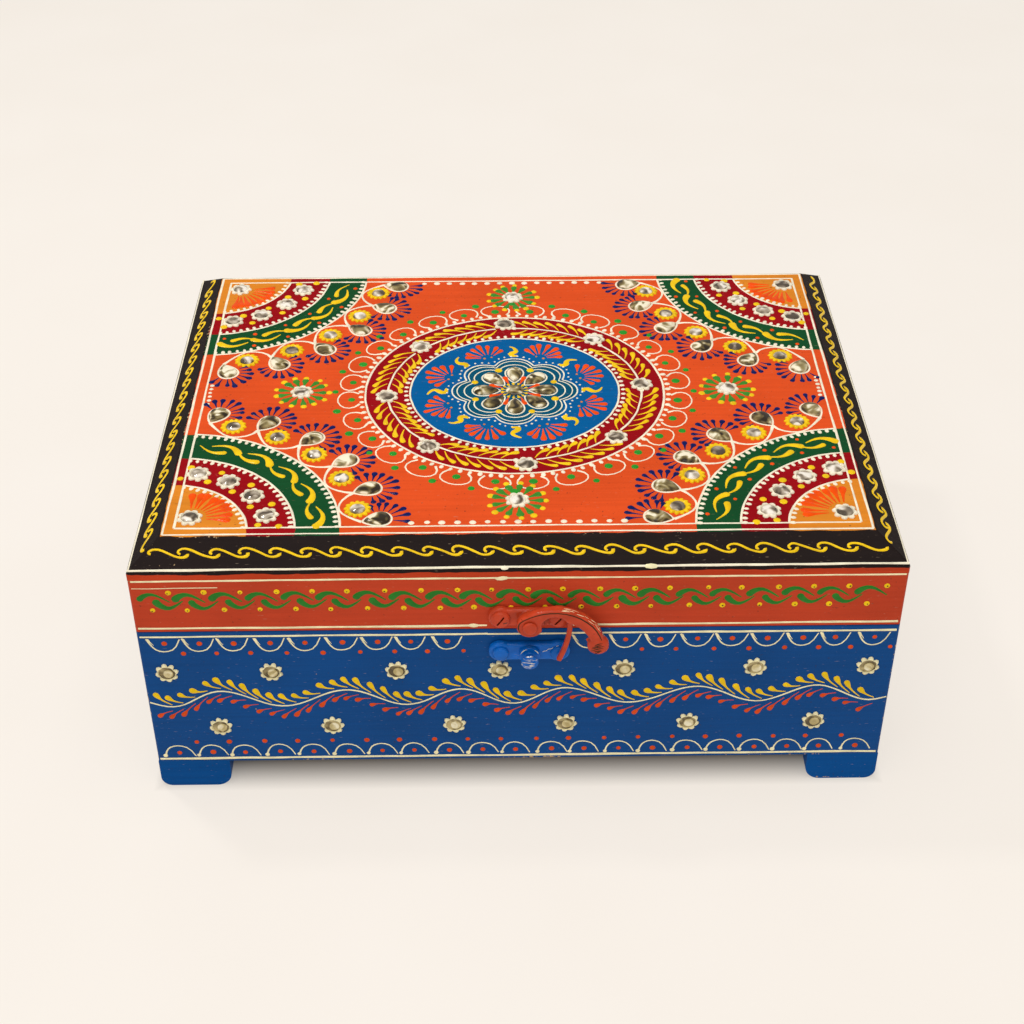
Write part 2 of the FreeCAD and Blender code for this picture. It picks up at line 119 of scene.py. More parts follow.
# Stones, where the frame has them: on circles round the lid's middle or its corners
PEAR_REACH = 11.2
PEAR_DEGS = [45 * i + 90 for i in range(8)]
WREATH_REACH = 46.6
WREATH_DEGS = [45 * i + 94 for i in range(8)]
DAISIES = ((77.5, 0), (-77.5, 0), (0, 67), (0, -67))
# Corner stones lie this far in from the field's corners
CORNER_STONE = (8.6, 9.6)
CRIMSON_REACH = 35.2
CRIMSON_DEGS = (17.5, 37.5, 57.5, 76.5)
GARLAND_REACH = 65
GARLAND_DEGS = (12, 28.5, 44, 59.5, 75)
GARLAND_PEAR_REACH = 71.5
GARLAND_PEAR_DEGS = (6.5, 20.5, 35.5, 50.5, 66, 81.5)
# The upper and the lower row of stones on a wall, as shares of half its length
FRONT_ROWS = (
    (-0.936, -0.659, -0.325, -0.051, 0.279, 0.630, 0.931),
    (-0.813, -0.508, -0.176, 0.127, 0.461, 0.805),
)
SIDE_ROWS = ((-0.86, -0.43, 0, 0.43, 0.86), (-0.645, -0.215, 0.215, 0.645))
WALL_ROWS = {"front": FRONT_ROWS, "left": SIDE_ROWS, "right": SIDE_ROWS}
UPPER_ROW = 54.0
LOWER_ROW = 28.8


def linear(text):
    """An sRGB hex colour as linear red, green and blue."""
    shares = [int(text[i : i + 2], 16) / 255 for i in (1, 3, 5)]
    return tuple(s / 12.92 if s <= 0.04045 else ((s + 0.055) / 1.055) ** 2.4 for s in shares)


def cos_sin(deg):
    """Cosine and sine of an angle in degrees."""
    return math.cos(math.radians(deg)), math.sin(math.radians(deg))


def surface(origin, right, up):
    """Takes millimetres drawn on a flat face to metres on the chest."""
    right = right.normalized()
    up = up.normalized()
    turned = Matrix((right, up, right.cross(up))).transposed().to_4x4()
    return Matrix.Translation(origin * MM) @ turned @ Matrix.Scale(MM, 4)


FACES = {"top": surface(UP * TOP, RIGHT, BACK)}
for side, (right, out, half, far) in SIDES.items():
    FACES[side] = surface(out * far, right, UP)
    FACES[side + "_bevel"] = surface(out * far + UP * ARRIS, right, UP * BEVEL_RISE - out * BEVEL_RUN)
# Faces of the latch: how far each stands out from the wall, and the height of its middle
LATCH_FACES = {
    "hook": (6.9, PIVOT_Z),
    "knob": (7.4, PIVOT_Z),
    "plate": (PLATE_OUT, PIVOT_Z),
    "catch": (PLATE_OUT, STUD_Z),
    "collar": (4.05, STUD_Z),
}
for name, (out, middle) in LATCH_FACES.items():
    FACES[name] = surface(Vector((LATCH_X, -HALF_Y - out, middle)), RIGHT, UP)
# Flats along the top of the hook, by the angle round the middle of its curve
HOOK_TOPS = (82, 66, 48, 33)
HOOK_TOP_RADIUS = 16.9
HOOK_TOP_OUT = 5.4
for deg in HOOK_TOPS:
    c, s = cos_sin(deg)
    spot = Vector((LATCH_X + HOOK_MIDDLE[0], -HALF_Y - HOOK_TOP_OUT, PIVOT_Z + HOOK_MIDDLE[1]))
    spot += Vector((c, 0, s)) * HOOK_TOP_RADIUS
    FACES[f"hook_top_{deg}"] = surface(spot, Vector((s, 0, -c)), BACK)


def polar(radius, deg, aside=0.0):
    """A point at a radius and angle round the lid's middle, moved aside along the circle."""
    c, s = cos_sin(deg)
    return radius * c - aside * s, radius * s + aside * c


def in_wreath(radius, deg, aside=0.0):
    """A point at a radius and angle in the wreath, which isn't quite round."""
    x, y = polar(radius, deg, aside)
    return x * WREATH_X, y * WREATH_Y


def from_corner(corner, radius, deg):
    """A point at a radius and angle round a corner of the lid's field, measured inwards."""
    c, s = cos_sin(deg)
    return corner[0] * (FIELD_X - radius * c), corner[1] * (FIELD_Y - radius * s)


def mirrored(corner, deg):
    """An angle in a corner, whose drawing is turned over in every other one."""
    return deg if corner[0] == corner[1] else 90 - deg


def garland_pear(corner, deg):
    """Middle of a garland pear, and the way that its round end points, in degrees."""
    lean = math.radians(0.70 * deg + 9)
    heading = math.atan2(-corner[1] * math.sin(lean), -corner[0] * math.cos(lean))
    return from_corner(corner, GARLAND_PEAR_REACH, deg), math.degrees(heading)


def pear_outline(share, length, width):
    """A point round a pear, tip towards minus X, with its middle where the frame has it."""
    turn = 2 * math.pi * share
    taper = math.cos(turn / 2 if turn <= math.pi else math.pi - turn / 2)
    half = math.sin(turn) * max(taper, 0.0) ** 0.75
    return (0.5 * math.cos(turn) - 0.08) * length, half * width * 0.66


def stem_height(u):
    """Height of the wavy stem at a place along a wall."""
    for n, (start, end) in enumerate(zip(STEM_BENDS, STEM_BENDS[1:])):
        if start <= u <= end:
            return STEM_Z + STEM_SWING * (-1) ** n * math.cos(math.pi * (u - start) / (end - start))
    raise ValueError("the stem runs past its wall")


# Modelling


def select_only(piece):
    """Selects one object and nothing else."""
    bpy.ops.object.select_all(action="DESELECT")
    piece.select_set(True)
    bpy.context.view_layer.objects.active = piece


def new_piece(name, mesh):
    """An object for a mesh, curve, lamp or camera, in the scene."""
    piece = bpy.data.objects.new(name, mesh)
    bpy.context.scene.collection.objects.link(piece)
    return piece


def turned(rings, sides, close):
    """A circle drawn up ring by ring, as on a lathe, from (radius, height) in millimetres."""
    bpy.ops.object.select_all(action="DESELECT")
    bpy.ops.mesh.primitive_circle_add(vertices=sides, radius=rings[0][0])
    bpy.ops.object.mode_set(mode="EDIT")
    bpy.ops.mesh.select_all(action="SELECT")
    bpy.ops.transform.translate(value=(0, 0, rings[0][1]))
    for (r0, z0), (r1, z1) in zip(rings, rings[1:]):
        bpy.ops.mesh.extrude_region_move(TRANSFORM_OT_translate={"value": (0, 0, z1 - z0)})
        bpy.ops.transform.resize(value=(r1 / r0, r1 / r0, 1), center_override=(0, 0, z1))
    if close == "cap":
        bpy.ops.mesh.edge_face_add()
    else:
        bpy.ops.mesh.select_mode(type="EDGE")
        bpy.ops.mesh.select_all(action="DESELECT")
        bpy.ops.mesh.select_non_manifold()
        bpy.ops.mesh.bridge_edge_loops()
        bpy.ops.mesh.select_mode(type="VERT")
    bpy.ops.object.mode_set(mode="OBJECT")
    return bpy.context.object


def paint_drop():
    """One drop of paint as it sets: a low dome, one millimetre in radius."""
    bpy.ops.object.select_all(action="DESELECT")
    bpy.ops.mesh.primitive_uv_sphere_add(segments=8, ring_count=6, radius=1)
    bpy.ops.object.mode_set(mode="EDIT")
    bpy.ops.mesh.select_all(action="SELECT")
    bpy.ops.mesh.bisect(plane_co=(0, 0, -0.1), plane_no=(0, 0, 1), use_fill=True, clear_inner=True)
    bpy.ops.object.mode_set(mode="OBJECT")
    return bpy.context.object


def petal_ring(rings, petals, notch):
    """A turned ring of paste pressed into petals with a stick."""
    piece = turned(rings, petals * 4, "loop")
    inner = min(r for r, z in rings)
    outer = max(r for r, z in rings)
    for v in piece.data.vertices:
        reach = (math.hypot(v.co.x, v.co.y) - inner) / (outer - inner)
        lobe = abs(math.cos(petals * math.atan2(v.co.y, v.co.x) / 2)) ** 0.8
        v.co.xy *= 1 - notch * reach * (1 - lobe)
        v.co.z *= 1 - 0.35 * (1 - lobe) * max(reach, 0.0)
    return piece


def pear_gem(length, width, height):
    """A domed pear of glass, its facets running from the girdle to the crown."""
    rings = ((1, -0.1), (1, 0.34), (0.9, 0.66), (0.68, 0.88), (0.38, 0.98), (0.12, 1))
    piece = turned(rings, 20, "cap")
    for v in piece.data.vertices:
        share = (math.atan2(v.co.y, v.co.x) / (2 * math.pi)) % 1.0
        reach = math.hypot(v.co.x, v.co.y)
        x, y = pear_outline(share, length, width)
        v.co = (x * reach, y * reach, v.co.z * height)
    return piece


def joined(pieces):
    """Several meshes made one."""
    select_only(pieces[0])
    for piece in pieces[1:]:
        piece.select_set(True)
    if len(pieces) > 1:
        bpy.ops.object.join()
    return pieces[0]


def repeated(template, places):
    """Copies of one modelled shape at each place, each with its own mesh, made one piece."""
    copies = []
    for place in places:
        mesh = template.data.copy()
        mesh.transform(place)
        copies.append(new_piece("copy", mesh))
    return joined(copies)


def discard(*templates):
    """Removes shapes that were only modelled to be copied or cut with."""
    for template in templates:
        bpy.data.meshes.remove(template.data)


def merged(piece, outwards=False):
    """Makes points that touch one, and turns the faces outwards if asked."""
    select_only(piece)
    bpy.ops.object.mode_set(mode="EDIT")
    bpy.ops.mesh.select_all(action="SELECT")
    bpy.ops.mesh.remove_doubles(threshold=TOUCHING)
    if outwards:
        bpy.ops.mesh.normals_make_consistent(inside=False)
    bpy.ops.object.mode_set(mode="OBJECT")


def modified(piece, kind, **settings):
    """Adds a modifier with its settings, and applies it."""
    select_only(piece)
    made = piece.modifiers.new(kind, kind)
    for setting, value in settings.items():
        setattr(made, setting, value)
    bpy.ops.object.modifier_apply(modifier=kind)


def finished(piece, name, material, body, stands_for=(), angle=50):
    """Cleans a piece, shades it, gives it its material and lets it ride on its body."""
    merged(piece, outwards=True)
    bpy.ops.object.shade_smooth_by_angle(angle=math.radians(angle))
    piece.name = name
    piece.data.name = name
    piece.data.materials.clear()
    piece.data.materials.append(material)
    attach(piece, body)
    if stands_for:
        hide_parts(*stands_for)


class Drawing:
    """One group's brush and cone work, kept by colour and face until it is laid on a body."""

    def __init__(self, group, body, seed):
        self.group = group
        self.body = body
        self.hand = random.Random(seed)
        self.strokes = {}
        self.drops = {}

    def slip(self, amount):
        """A small slip of the hand."""
        return self.hand.uniform(-amount, amount)

    def keep(self, store, colour, face, mark):
        """Notes a stroke or a drop under its colour and face."""
        store.setdefault(colour, {}).setdefault(face, []).append(mark)

    def line(self, colour, face, points, widths, closed=False):
        """Paint trailed through points, with its width at each of them."""
        if not hasattr(widths, "__len__"):
            widths = [widths * (1 + self.slip(0.15)) for p in points]
        self.keep(self.strokes, colour, face, (points, widths, closed))

    def ruled(self, colour, face, start, end, width):
        """A straight line as a hand draws it: it wanders, and swells where the brush waits."""
        count = max(3, round(math.dist(start, end) / 8))
        points = []
        for i in range(count + 1):
            share = i / count
            points.append([a + (b - a) * share + self.slip(0.13) for a, b in zip(start, end)])
        self.line(colour, face, points, [width * (1 + self.slip(0.25)) for p in points])

    def tear(self, colour, face, head, tail, width, bow=0.0, waist=0.45):
        """A teardrop stroke from its round head to its thin tail, bowed to the left."""
        along = Vector(tail) - Vector(head)
        aside = Vector((-along.y, along.x)).normalized()
        points = []
        for share in (0, 0.13, 0.34, 0.62, 1):
            points.append(Vector(head) + along * share + aside * bow * 4 * share * (1 - share))
        self.comma(colour, face, points, width, waist)

    def comma(self, colour, face, points, width, waist=0.45):
        """A stroke with a round head at its first point, drawn out past a waist to a thin tail."""
        width *= 1 + self.slip(0.12)
        self.keep(self.drops, colour, face, (*points[0], 0.0, width / 2, 1.0, 0.0))
        last = len(points) - 1
        widths = [width * 0.95, width * 0.92]
        for i in range(2, last + 1):
            widths.append(width * (waist - (waist - 0.14) * (i - 2) / (last - 2)))
        self.line(colour, face, points, widths)

    def dot(self, colour, face, point, radius, stretch=1.0, turn=0.0, lift=0.0):
        """A drop of paint, drawn out along a direction in degrees, and lifted if it lies on paint."""
        radius *= 1 + self.slip(0.14)
        u = point[0] + self.slip(0.16)
        v = point[1] + self.slip(0.16)
        self.keep(self.drops, colour, face, (u, v, lift, radius, stretch, turn + self.slip(9)))

    def pear(self, colour, face, middle, heading, size, width):
        """A line round a pear stone, whose round end points along a heading in degrees."""
        points = []
        for i in range(20):
            x, y = pear_outline(i / 20, *size)
            points.append(Vector(middle) + Vector(polar(x, heading, y)))
        self.line(colour, face, points, width, closed=True)

    def lay(self, context):
        """Turns what was drawn into raised paint, one piece for each colour."""
        rise = context.scene.chest_sizes.paint_rise
        for colour in sorted(set(self.strokes) | set(self.drops)):
            pieces = []
            for face, strokes in self.strokes.get(colour, {}).items():
                pieces.append(trails(strokes, FACES[face], rise))
            drop = paint_drop()
            for face, spots in self.drops.get(colour, {}).items():
                places = []
                for u, v, lift, radius, stretch, turn in spots:
                    size = Matrix.Diagonal((radius * stretch, radius, settled(radius * rise * 1.15), 1))
                    size = Matrix.Rotation(math.radians(turn), 4, "Z") @ size
                    places.append(FACES[face] @ Matrix.Translation((u, v, lift)) @ size)
                pieces.append(repeated(drop, places))
            discard(drop)
            material = relief_paint(colour, getattr(context.scene.chest_paints, colour))
            finished(joined(pieces), self.group + "_" + colour, material, self.body)


def settled(height):
    """Height in millimetres that wet paint keeps: a broad stroke sinks more than a thin one."""
    return PAINT_LIMIT * (1 - math.exp(-height / PAINT_LIMIT))


def trails(strokes, face, rise):
    """Strokes of paint on one face: rounded ridges, sunk by half into what carries them."""
    drawn = bpy.data.curves.new("trail", "CURVE")
    drawn.dimensions = "3D"
    drawn.bevel_depth = 0.5
    drawn.bevel_resolution = 1
    drawn.use_fill_caps = True
    for points, widths, closed in strokes:
        spline = drawn.splines.new("NURBS")
        spline.points.add(len(points) - 1)
        for knot, point, width in zip(spline.points, points, widths):
            knot.co = (point[0], point[1], 0, 1)
            knot.radius = width
        spline.use_cyclic_u = closed
        spline.use_endpoint_u = not closed
        spline.order_u = 3
        spline.resolution_u = 2
    piece = new_piece("trail", drawn)
    select_only(piece)
    bpy.ops.object.convert(target="MESH")
    piece = bpy.context.object
    for v in piece.data.vertices:
        v.co.z = math.copysign(settled(abs(v.co.z) * rise), v.co.z)
    piece.data.transform(face)
    return piece


# Materials


def new_material(name):
    """An empty material with its shader."""
    made = bpy.data.materials.new(name)
    made.use_nodes = True
    return made, made.node_tree, made.node_tree.nodes["Principled BSDF"]


def fill(tree, node, sockets):
    """Sets a node's inputs, or links them where the value is another node's output."""
    for key, value in sockets.items():
        socket = node.inputs[key]
        if isinstance(value, bpy.types.NodeSocket):
            tree.links.new(value, socket)
        elif socket.type == "RGBA":
            socket.default_value = (*value, 1)
        else:
            socket.default_value = value


def add(tree, kind, sockets=None, **fields):
    """Adds a shader node with its settings, and fills or links its inputs by name or number."""
    made = tree.nodes.new("ShaderNode" + kind)
    for field, value in fields.items():
        setattr(made, field, value)
    fill(tree, made, sockets or {})
    return made.outputs


def known(name):
    """A material that was made before, if there is one."""
    return bpy.data.materials.get(name)


def relief_paint(name, colour):
    """Thick poster paint trailed from a cone: satin, a little uneven, with dull pits."""
    name = name + "_cone_paint"
    if known(name):
        return known(name)
    made, tree, shader = new_material(name)
    place = add(tree, "TexCoord")["Object"]
    # Blotches of 4 mm where the paint is thinner, and pits of about half a millimetre
    blotch = add(tree, "TexNoise", {"Vector": place, "Scale": 1 / 0.004, "Detail": 3.0})["Fac"]
    pits = add(tree, "TexNoise", {"Vector": place, "Scale": 1 / 0.0006, "Detail": 2.0})["Fac"]
    tone = add(tree, "MapRange", {0: blotch, 1: 0.3, 2: 0.7, 3: 0.80, 4: 1.05})[0]
    mixed = add(tree, "Mix", {0: 1.0, 6: tuple(colour), 7: tone}, data_type="RGBA", blend_type="MULTIPLY")[2]
    gloss = add(tree, "MapRange", {0: pits, 1: 0.3, 2: 0.7, 3: 0.14, 4: 0.27})[0]
    bump = add(tree, "Bump", {"Strength": 0.12, "Distance": 0.0002, "Height": pits})[0]
    fill(tree, shader, {"Base Color": mixed, "Roughness": gloss, "Normal": bump, "Specular IOR Level": 0.1})
    return made


def distances(tree, place):
    """How far a point is from the edges and circles that the painter followed, in metres."""
    axes = add(tree, "SeparateXYZ", {0: place})
    wide = add(tree, "Math", {0: axes[0], 1: WREATH_X}, operation="DIVIDE")[0]
    deep = add(tree, "Math", {0: axes[1], 1: WREATH_Y}, operation="DIVIDE")[0]
    flat = add(tree, "CombineXYZ", {0: wide, 1: deep})[0]
    ax = add(tree, "Math", {0: axes[0]}, operation="ABSOLUTE")[0]
    ay = add(tree, "Math", {0: axes[1]}, operation="ABSOLUTE")[0]
    found = {"height": axes[2]}
    found["centre"] = add(tree, "VectorMath", {0: flat}, operation="LENGTH")["Value"]
    gaps = {}
    for name, x, y in (("field", FIELD_X, FIELD_Y), ("side", HALF_X, HALF_Y)):
        gx = add(tree, "Math", {0: ax, 1: x * MM}, operation="SUBTRACT")[0]
        gy = add(tree, "Math", {0: ay, 1: y * MM}, operation="SUBTRACT")[0]
        gaps[name] = (gx, gy)
        found[name] = add(tree, "Math", {0: gx, 1: gy}, operation="MAXIMUM")[0]
    found["upright"] = add(tree, "Math", {0: gaps["side"][0], 1: gaps["side"][1]}, operation="MINIMUM")[0]
    inward = add(tree, "CombineXYZ", {0: gaps["field"][0], 1: gaps["field"][1]})[0]
    found["corner"] = add(tree, "VectorMath", {0: inward}, operation="LENGTH")["Value"]
    # Eight lobes, as the flower in the middle has
    angle = add(tree, "Math", {0: axes[1], 1: axes[0]}, operation="ARCTAN2")[0]
    four = add(tree, "Math", {0: angle, 1: 4.0}, operation="MULTIPLY")[0]
    wave = add(tree, "Math", {0: four}, operation="COSINE")[0]
    lobe = add(tree, "Math", {0: wave}, operation="ABSOLUTE")[0]
    swell = add(tree, "MapRange", {0: lobe, 1: 0.0, 2: 1.0, 3: 0.83, 4: 1.0})[0]
    found["flower"] = add(tree, "Math", {0: found["centre"], 1: swell}, operation="DIVIDE")[0]
    return found


def enamel(name, ground, layers, streaks, chips, shine):
    """Brushed house enamel on wood: satin, streaked along the brush, chipped at its edges.

    layers are (colour or "wood", distance, sign, limit in mm), painted where sign times distance is under
    the limit; streaks are the brush marks' lengths in mm along X, Y and Z; chips are (distance, shift in mm)
    pairs whose edge sits where the distance is near the shift; shine is how strongly it mirrors.
    """
    made, tree, shader = new_material(name)
    place = add(tree, "TexCoord")["Object"]
    far = distances(tree, place)
    # A shaky hand moves each painted edge by a third of a millimetre over 7 mm
    shake = add(tree, "TexNoise", {"Vector": place, "Scale": 1 / 0.007, "Detail": 2.0})["Fac"]
    shift = add(tree, "MapRange", {0: shake, 1: 0.25, 2: 0.75, 3: -0.00035, 4: 0.00035}, clamp=False)[0]
    stretch = tuple(1 / (length * MM) for length in streaks)
    drawn = add(tree, "Mapping", {"Vector": place, "Scale": stretch})[0]
    streak = add(tree, "TexNoise", {"Vector": drawn, "Scale": 1.0, "Detail": 4.0, "Roughness": 0.6})["Fac"]
    patch = add(tree, "TexNoise", {"Vector": place, "Scale": 1 / 0.028, "Detail": 5.0})["Fac"]
    specks = add(tree, "TexNoise", {"Vector": place, "Scale": 1 / 0.0013, "Detail": 2.0})["Fac"]
    # Light hardwood inside, its grain along the longest streak
    grain = add(tree, "ValToRGB", {0: streak})
    ramp = tree.nodes[-1].color_ramp
    for stop, position, tone in zip(ramp.elements, (0.3, 0.7), ("#9A7148", "#C9A573")):
        stop.position = position
        stop.color = (*linear(tone), 1)
    colour = tuple(ground)
    for paint, what, sign, limit in layers:
        signed = add(tree, "Math", {0: far[what], 1: float(sign)}, operation="MULTIPLY")[0]
        # Bare wood ends at a sawn edge, not at a painted one
        loose = signed if paint == "wood" else add(tree, "Math", {0: signed, 1: shift}, operation="ADD")[0]
        edge = {0: loose, 1: (limit - 0.08) * MM, 2: (limit + 0.08) * MM, 3: 1.0, 4: 0.0}
        inside = add(tree, "MapRange", edge)[0]
        over = grain[0] if paint == "wood" else tuple(paint)
        colour = add(tree, "Mix", {0: inside, 6: colour, 7: over}, data_type="RGBA")[2]
    tone = add(tree, "MapRange", {0: patch, 1: 0.3, 2: 0.7, 3: 0.90, 4: 1.06})[0]
    lines = add(tree, "MapRange", {0: streak, 1: 0.3, 2: 0.7, 3: 0.92, 4: 1.05})[0]
    both = add(tree, "Math", {0: tone, 1: lines}, operation="MULTIPLY")[0]
    colour = add(tree, "Mix", {0: 1.0, 6: colour, 7: both}, data_type="RGBA", blend_type="MULTIPLY")[2]
    # Dark pinholes and dirt, half a millimetre across
    dirt = add(tree, "MapRange", {0: specks, 1: 0.68, 2: 0.74, 3: 0.0, 4: 0.55})[0]
    colour = add(tree, "Mix", {0: dirt, 6: colour, 7: linear("#3A2A22")}, data_type="RGBA")[2]
    # Pale scuffs, 2 mm long and a third of a millimetre wide
    slanting = {"Vector": place, "Rotation": (0.4, 0.3, 0.7), "Scale": (450, 3000, 3000)}
    slant = add(tree, "Mapping", slanting)[0]
    scuffs = add(tree, "TexNoise", {"Vector": slant, "Scale": 1.0, "Detail": 1.0})["Fac"]
    scuffs = add(tree, "MapRange", {0: scuffs, 1: 0.735, 2: 0.79, 3: 0.0, 4: 0.34})[0]
    colour = add(tree, "Mix", {0: scuffs, 6: colour, 7: linear("#B9A48C")}, data_type="RGBA")[2]
    for what, at in chips:
        gap = add(tree, "Math", {0: far[what], 1: at * MM}, operation="SUBTRACT")[0]
        away = add(tree, "Math", {0: gap}, operation="ABSOLUTE")[0]
        near = add(tree, "MapRange", {0: away, 1: 0.0, 2: 0.0009, 3: 0.25, 4: 0.0})[0]
        rough = add(tree, "Math", {0: near, 1: patch}, operation="ADD")[0]
        rough = add(tree, "Math", {0: rough, 1: specks}, operation="ADD")[0]
        lost = add(tree, "MapRange", {0: rough, 1: 1.42, 2: 1.45, 3: 0.0, 4: 0.9})[0]
        colour = add(tree, "Mix", {0: lost, 6: colour, 7: linear("#B79A72")}, data_type="RGBA")[2]
    gloss = add(tree, "MapRange", {0: patch, 1: 0.3, 2: 0.7, 3: 0.34, 4: 0.50})[0]
    marks = add(tree, "Math", {0: streak, 1: specks}, operation="ADD")[0]
    bump = add(tree, "Bump", {"Strength": 0.22, "Distance": 0.0003, "Height": marks})[0]
    fill(tree, shader, {"Base Color": colour, "Roughness": gloss})
    fill(tree, shader, {"Normal": bump, "Specular IOR Level": shine})
    return made


def timber(name, pale, dark):
    """Planed light hardwood, unfinished: straight grain lines with a soft flame, dull."""
    made, tree, shader = new_material(name)
    place = add(tree, "TexCoord")["Object"]
    # Grain lines about 1.5 mm apart, 60 mm long
    drawn = add(tree, "Mapping", {"Vector": place, "Scale": (1 / 0.06, 1 / 0.0015, 1 / 0.0015)})[0]
    lines = add(tree, "TexNoise", {"Vector": drawn, "Scale": 1.0, "Detail": 4.0, "Distortion": 0.6})["Fac"]
    flame = add(tree, "TexNoise", {"Vector": place, "Scale": 1 / 0.05, "Detail": 3.0})["Fac"]
    share = add(tree, "Math", {0: lines, 1: flame}, operation="ADD")[0]
    share = add(tree, "MapRange", {0: share, 1: 0.7, 2: 1.3, 3: 0.0, 4: 1.0})[0]
    colour = add(tree, "Mix", {0: share, 6: dark, 7: pale}, data_type="RGBA")[2]
    gloss = add(tree, "MapRange", {0: lines, 1: 0.3, 2: 0.7, 3: 0.55, 4: 0.75})[0]
    bump = add(tree, "Bump", {"Strength": 0.3, "Distance": 0.0002, "Height": lines})[0]
    fill(tree, shader, {"Base Color": colour, "Roughness": gloss, "Normal": bump})
    return made


def foil_glass(name, tones):
    """Glass stones on tarnished foil: bright and dark flashes painted into the colour as reflections, under a
    polished face.
    """
    made, tree, shader = new_material(name)
    place = add(tree, "TexCoord")["Object"]
    # Painted reflections: flashes about 5 mm long in the colour, as a folded foil throws them
    flash_pattern = {"Vector": place, "Scale": 1 / 0.0046, "Detail": 0.8, "Distortion": 1.1}
    painted_flashes = add(tree, "TexNoise", flash_pattern)["Fac"]
    colour = add(tree, "ValToRGB", {0: painted_flashes})[0]
    ramp = tree.nodes[-1].color_ramp
    ramp.elements[0].position = 0.36
    ramp.elements[1].position = 0.64
    for position in (0.46, 0.54):
        ramp.elements.new(position)
    for stop, tone in zip(ramp.elements, tones):
        stop.color = (*linear(tone), 1)
    gloss = add(tree, "MapRange", {0: painted_flashes, 1: 0.3, 2: 0.7, 3: 0.12, 4: 0.28})[0]
    bump = add(tree, "Bump", {"Strength": 0.3, "Distance": 0.0003, "Height": painted_flashes})[0]
    fill(tree, shader, {"Base Color": colour, "Roughness": gloss, "Normal": bump})
    fill(tree, shader, {"Specular IOR Level": 0.3, "Coat Weight": 0.22, "Coat Roughness": 0.05})
    return made


def painted_casting(name, colour, under, worn, front=None):
    """Cast fitting brushed over with the wall's paint: thick, glossy, scratched through in places.

    With a front, in millimetres along Y, it is worn only there.
    """
    made, tree, shader = new_material(name)
    place = add(tree, "TexCoord")["Object"]
    # Runs of 5 mm in the paint, and scratches a third of a millimetre wide
    runs = add(tree, "TexNoise", {"Vector": place, "Scale": 1 / 0.005, "Detail": 3.0})["Fac"]
    slant = add(tree, "Mapping", {"Vector": place, "Rotation": (0, 0.7, 0), "Scale": (400, 400, 2600)})[0]
    cuts = add(tree, "TexNoise", {"Vector": slant, "Scale": 1.0, "Detail": 2.0})["Fac"]
    tone = add(tree, "MapRange", {0: runs, 1: 0.3, 2: 0.7, 3: 0.78, 4: 1.12})[0]
    mixed = add(tree, "Mix", {0: 1.0, 6: tuple(colour), 7: tone}, data_type="RGBA", blend_type="MULTIPLY")[2]
    both = add(tree, "Math", {0: cuts, 1: runs}, operation="ADD")[0]
    bare = add(tree, "MapRange", {0: both, 1: worn, 2: worn + 0.05, 3: 0.0, 4: 0.85})[0]
    if front:
        deep = add(tree, "SeparateXYZ", {0: place})[1]
        edge = {0: deep, 1: (front - 0.2) * MM, 2: (front + 0.2) * MM, 3: 1.0, 4: 0.0}
        bare = add(tree, "Math", {0: bare, 1: add(tree, "MapRange", edge)[0]}, operation="MULTIPLY")[0]
    mixed = add(tree, "Mix", {0: bare, 6: mixed, 7: linear(under)}, data_type="RGBA")[2]
    gloss = add(tree, "MapRange", {0: runs, 1: 0.3, 2: 0.7, 3: 0.1, 4: 0.2})[0]
    bump = add(tree, "Bump", {"Strength": 0.2, "Distance": 0.0004, "Height": runs})[0]
    fill(tree, shader, {"Base Color": mixed, "Metallic": bare, "Specular IOR Level": 0.18})
    fill(tree, shader, {"Roughness": gloss, "Normal": bump})
    return made


def pin_steel(name):
    """Drawn mild steel, gone dull: fine draw lines and grey-brown spots."""
    made, tree, shader = new_material(name)
    place = add(tree, "TexCoord")["Object"]
    # Draw lines 3 mm long and a third of a millimetre wide, and spots of 3 mm
    drawn = add(tree, "Mapping", {"Vector": place, "Scale": (300, 3000, 3000)})[0]
    lines = add(tree, "TexNoise", {"Vector": drawn, "Scale": 1.0, "Detail": 3.0})["Fac"]
    spots = add(tree, "TexNoise", {"Vector": place, "Scale": 1 / 0.003, "Detail": 4.0})["Fac"]
    share = add(tree, "MapRange", {0: spots, 1: 0.5, 2: 0.7, 3: 0.0, 4: 0.7})[0]
    colour = add(tree, "Mix", {0: share, 6: linear("#A9A7A2"), 7: linear("#6B5A48")}, data_type="RGBA")[2]
    gloss = add(tree, "MapRange", {0: lines, 1: 0.3, 2: 0.7, 3: 0.3, 4: 0.5})[0]
    fill(tree, shader, {"Base Color": colour, "Roughness": gloss, "Metallic": 1.0})
    return made


def wool_felt(name, colour):
    """Pressed wool felt: matt, with short fibres lying every way and a faint bloom."""
    made, tree, shader = new_material(name)
    place = add(tree, "TexCoord")["Object"]
    # Fibres drawn a millimetre long so that they show
    matting = {"Vector": place, "Scale": 1 / 0.0011, "Detail": 5.0, "Distortion": 2.5}
    fibres = add(tree, "TexNoise", matting)["Fac"]
    wear = add(tree, "TexNoise", {"Vector": place, "Scale": 1 / 0.04, "Detail": 2.0})["Fac"]
    tone = add(tree, "Math", {0: fibres, 1: wear}, operation="ADD")[0]
    tone = add(tree, "MapRange", {0: tone, 1: 0.7, 2: 1.3, 3: 0.6, 4: 1.3})[0]
    mixed = add(tree, "Mix", {0: 1.0, 6: tuple(colour), 7: tone}, data_type="RGBA", blend_type="MULTIPLY")[2]
    bump = add(tree, "Bump", {"Strength": 0.6, "Distance": 0.0005, "Height": fibres})[0]
    fill(tree, shader, {"Base Color": mixed, "Normal": bump, "Roughness": 0.95, "Sheen Weight": 0.3})
    return made


# Settings


def paint_setting(name, description, colour):
    """A colour that the user can change."""
    return FloatVectorProperty(name=name, description=description, subtype="COLOR", default=linear(colour))


def length_setting(name, description, millimetres):
    """A length that the user can change."""
    return FloatProperty(name=name, description=description, unit="LENGTH", default=millimetres * MM)


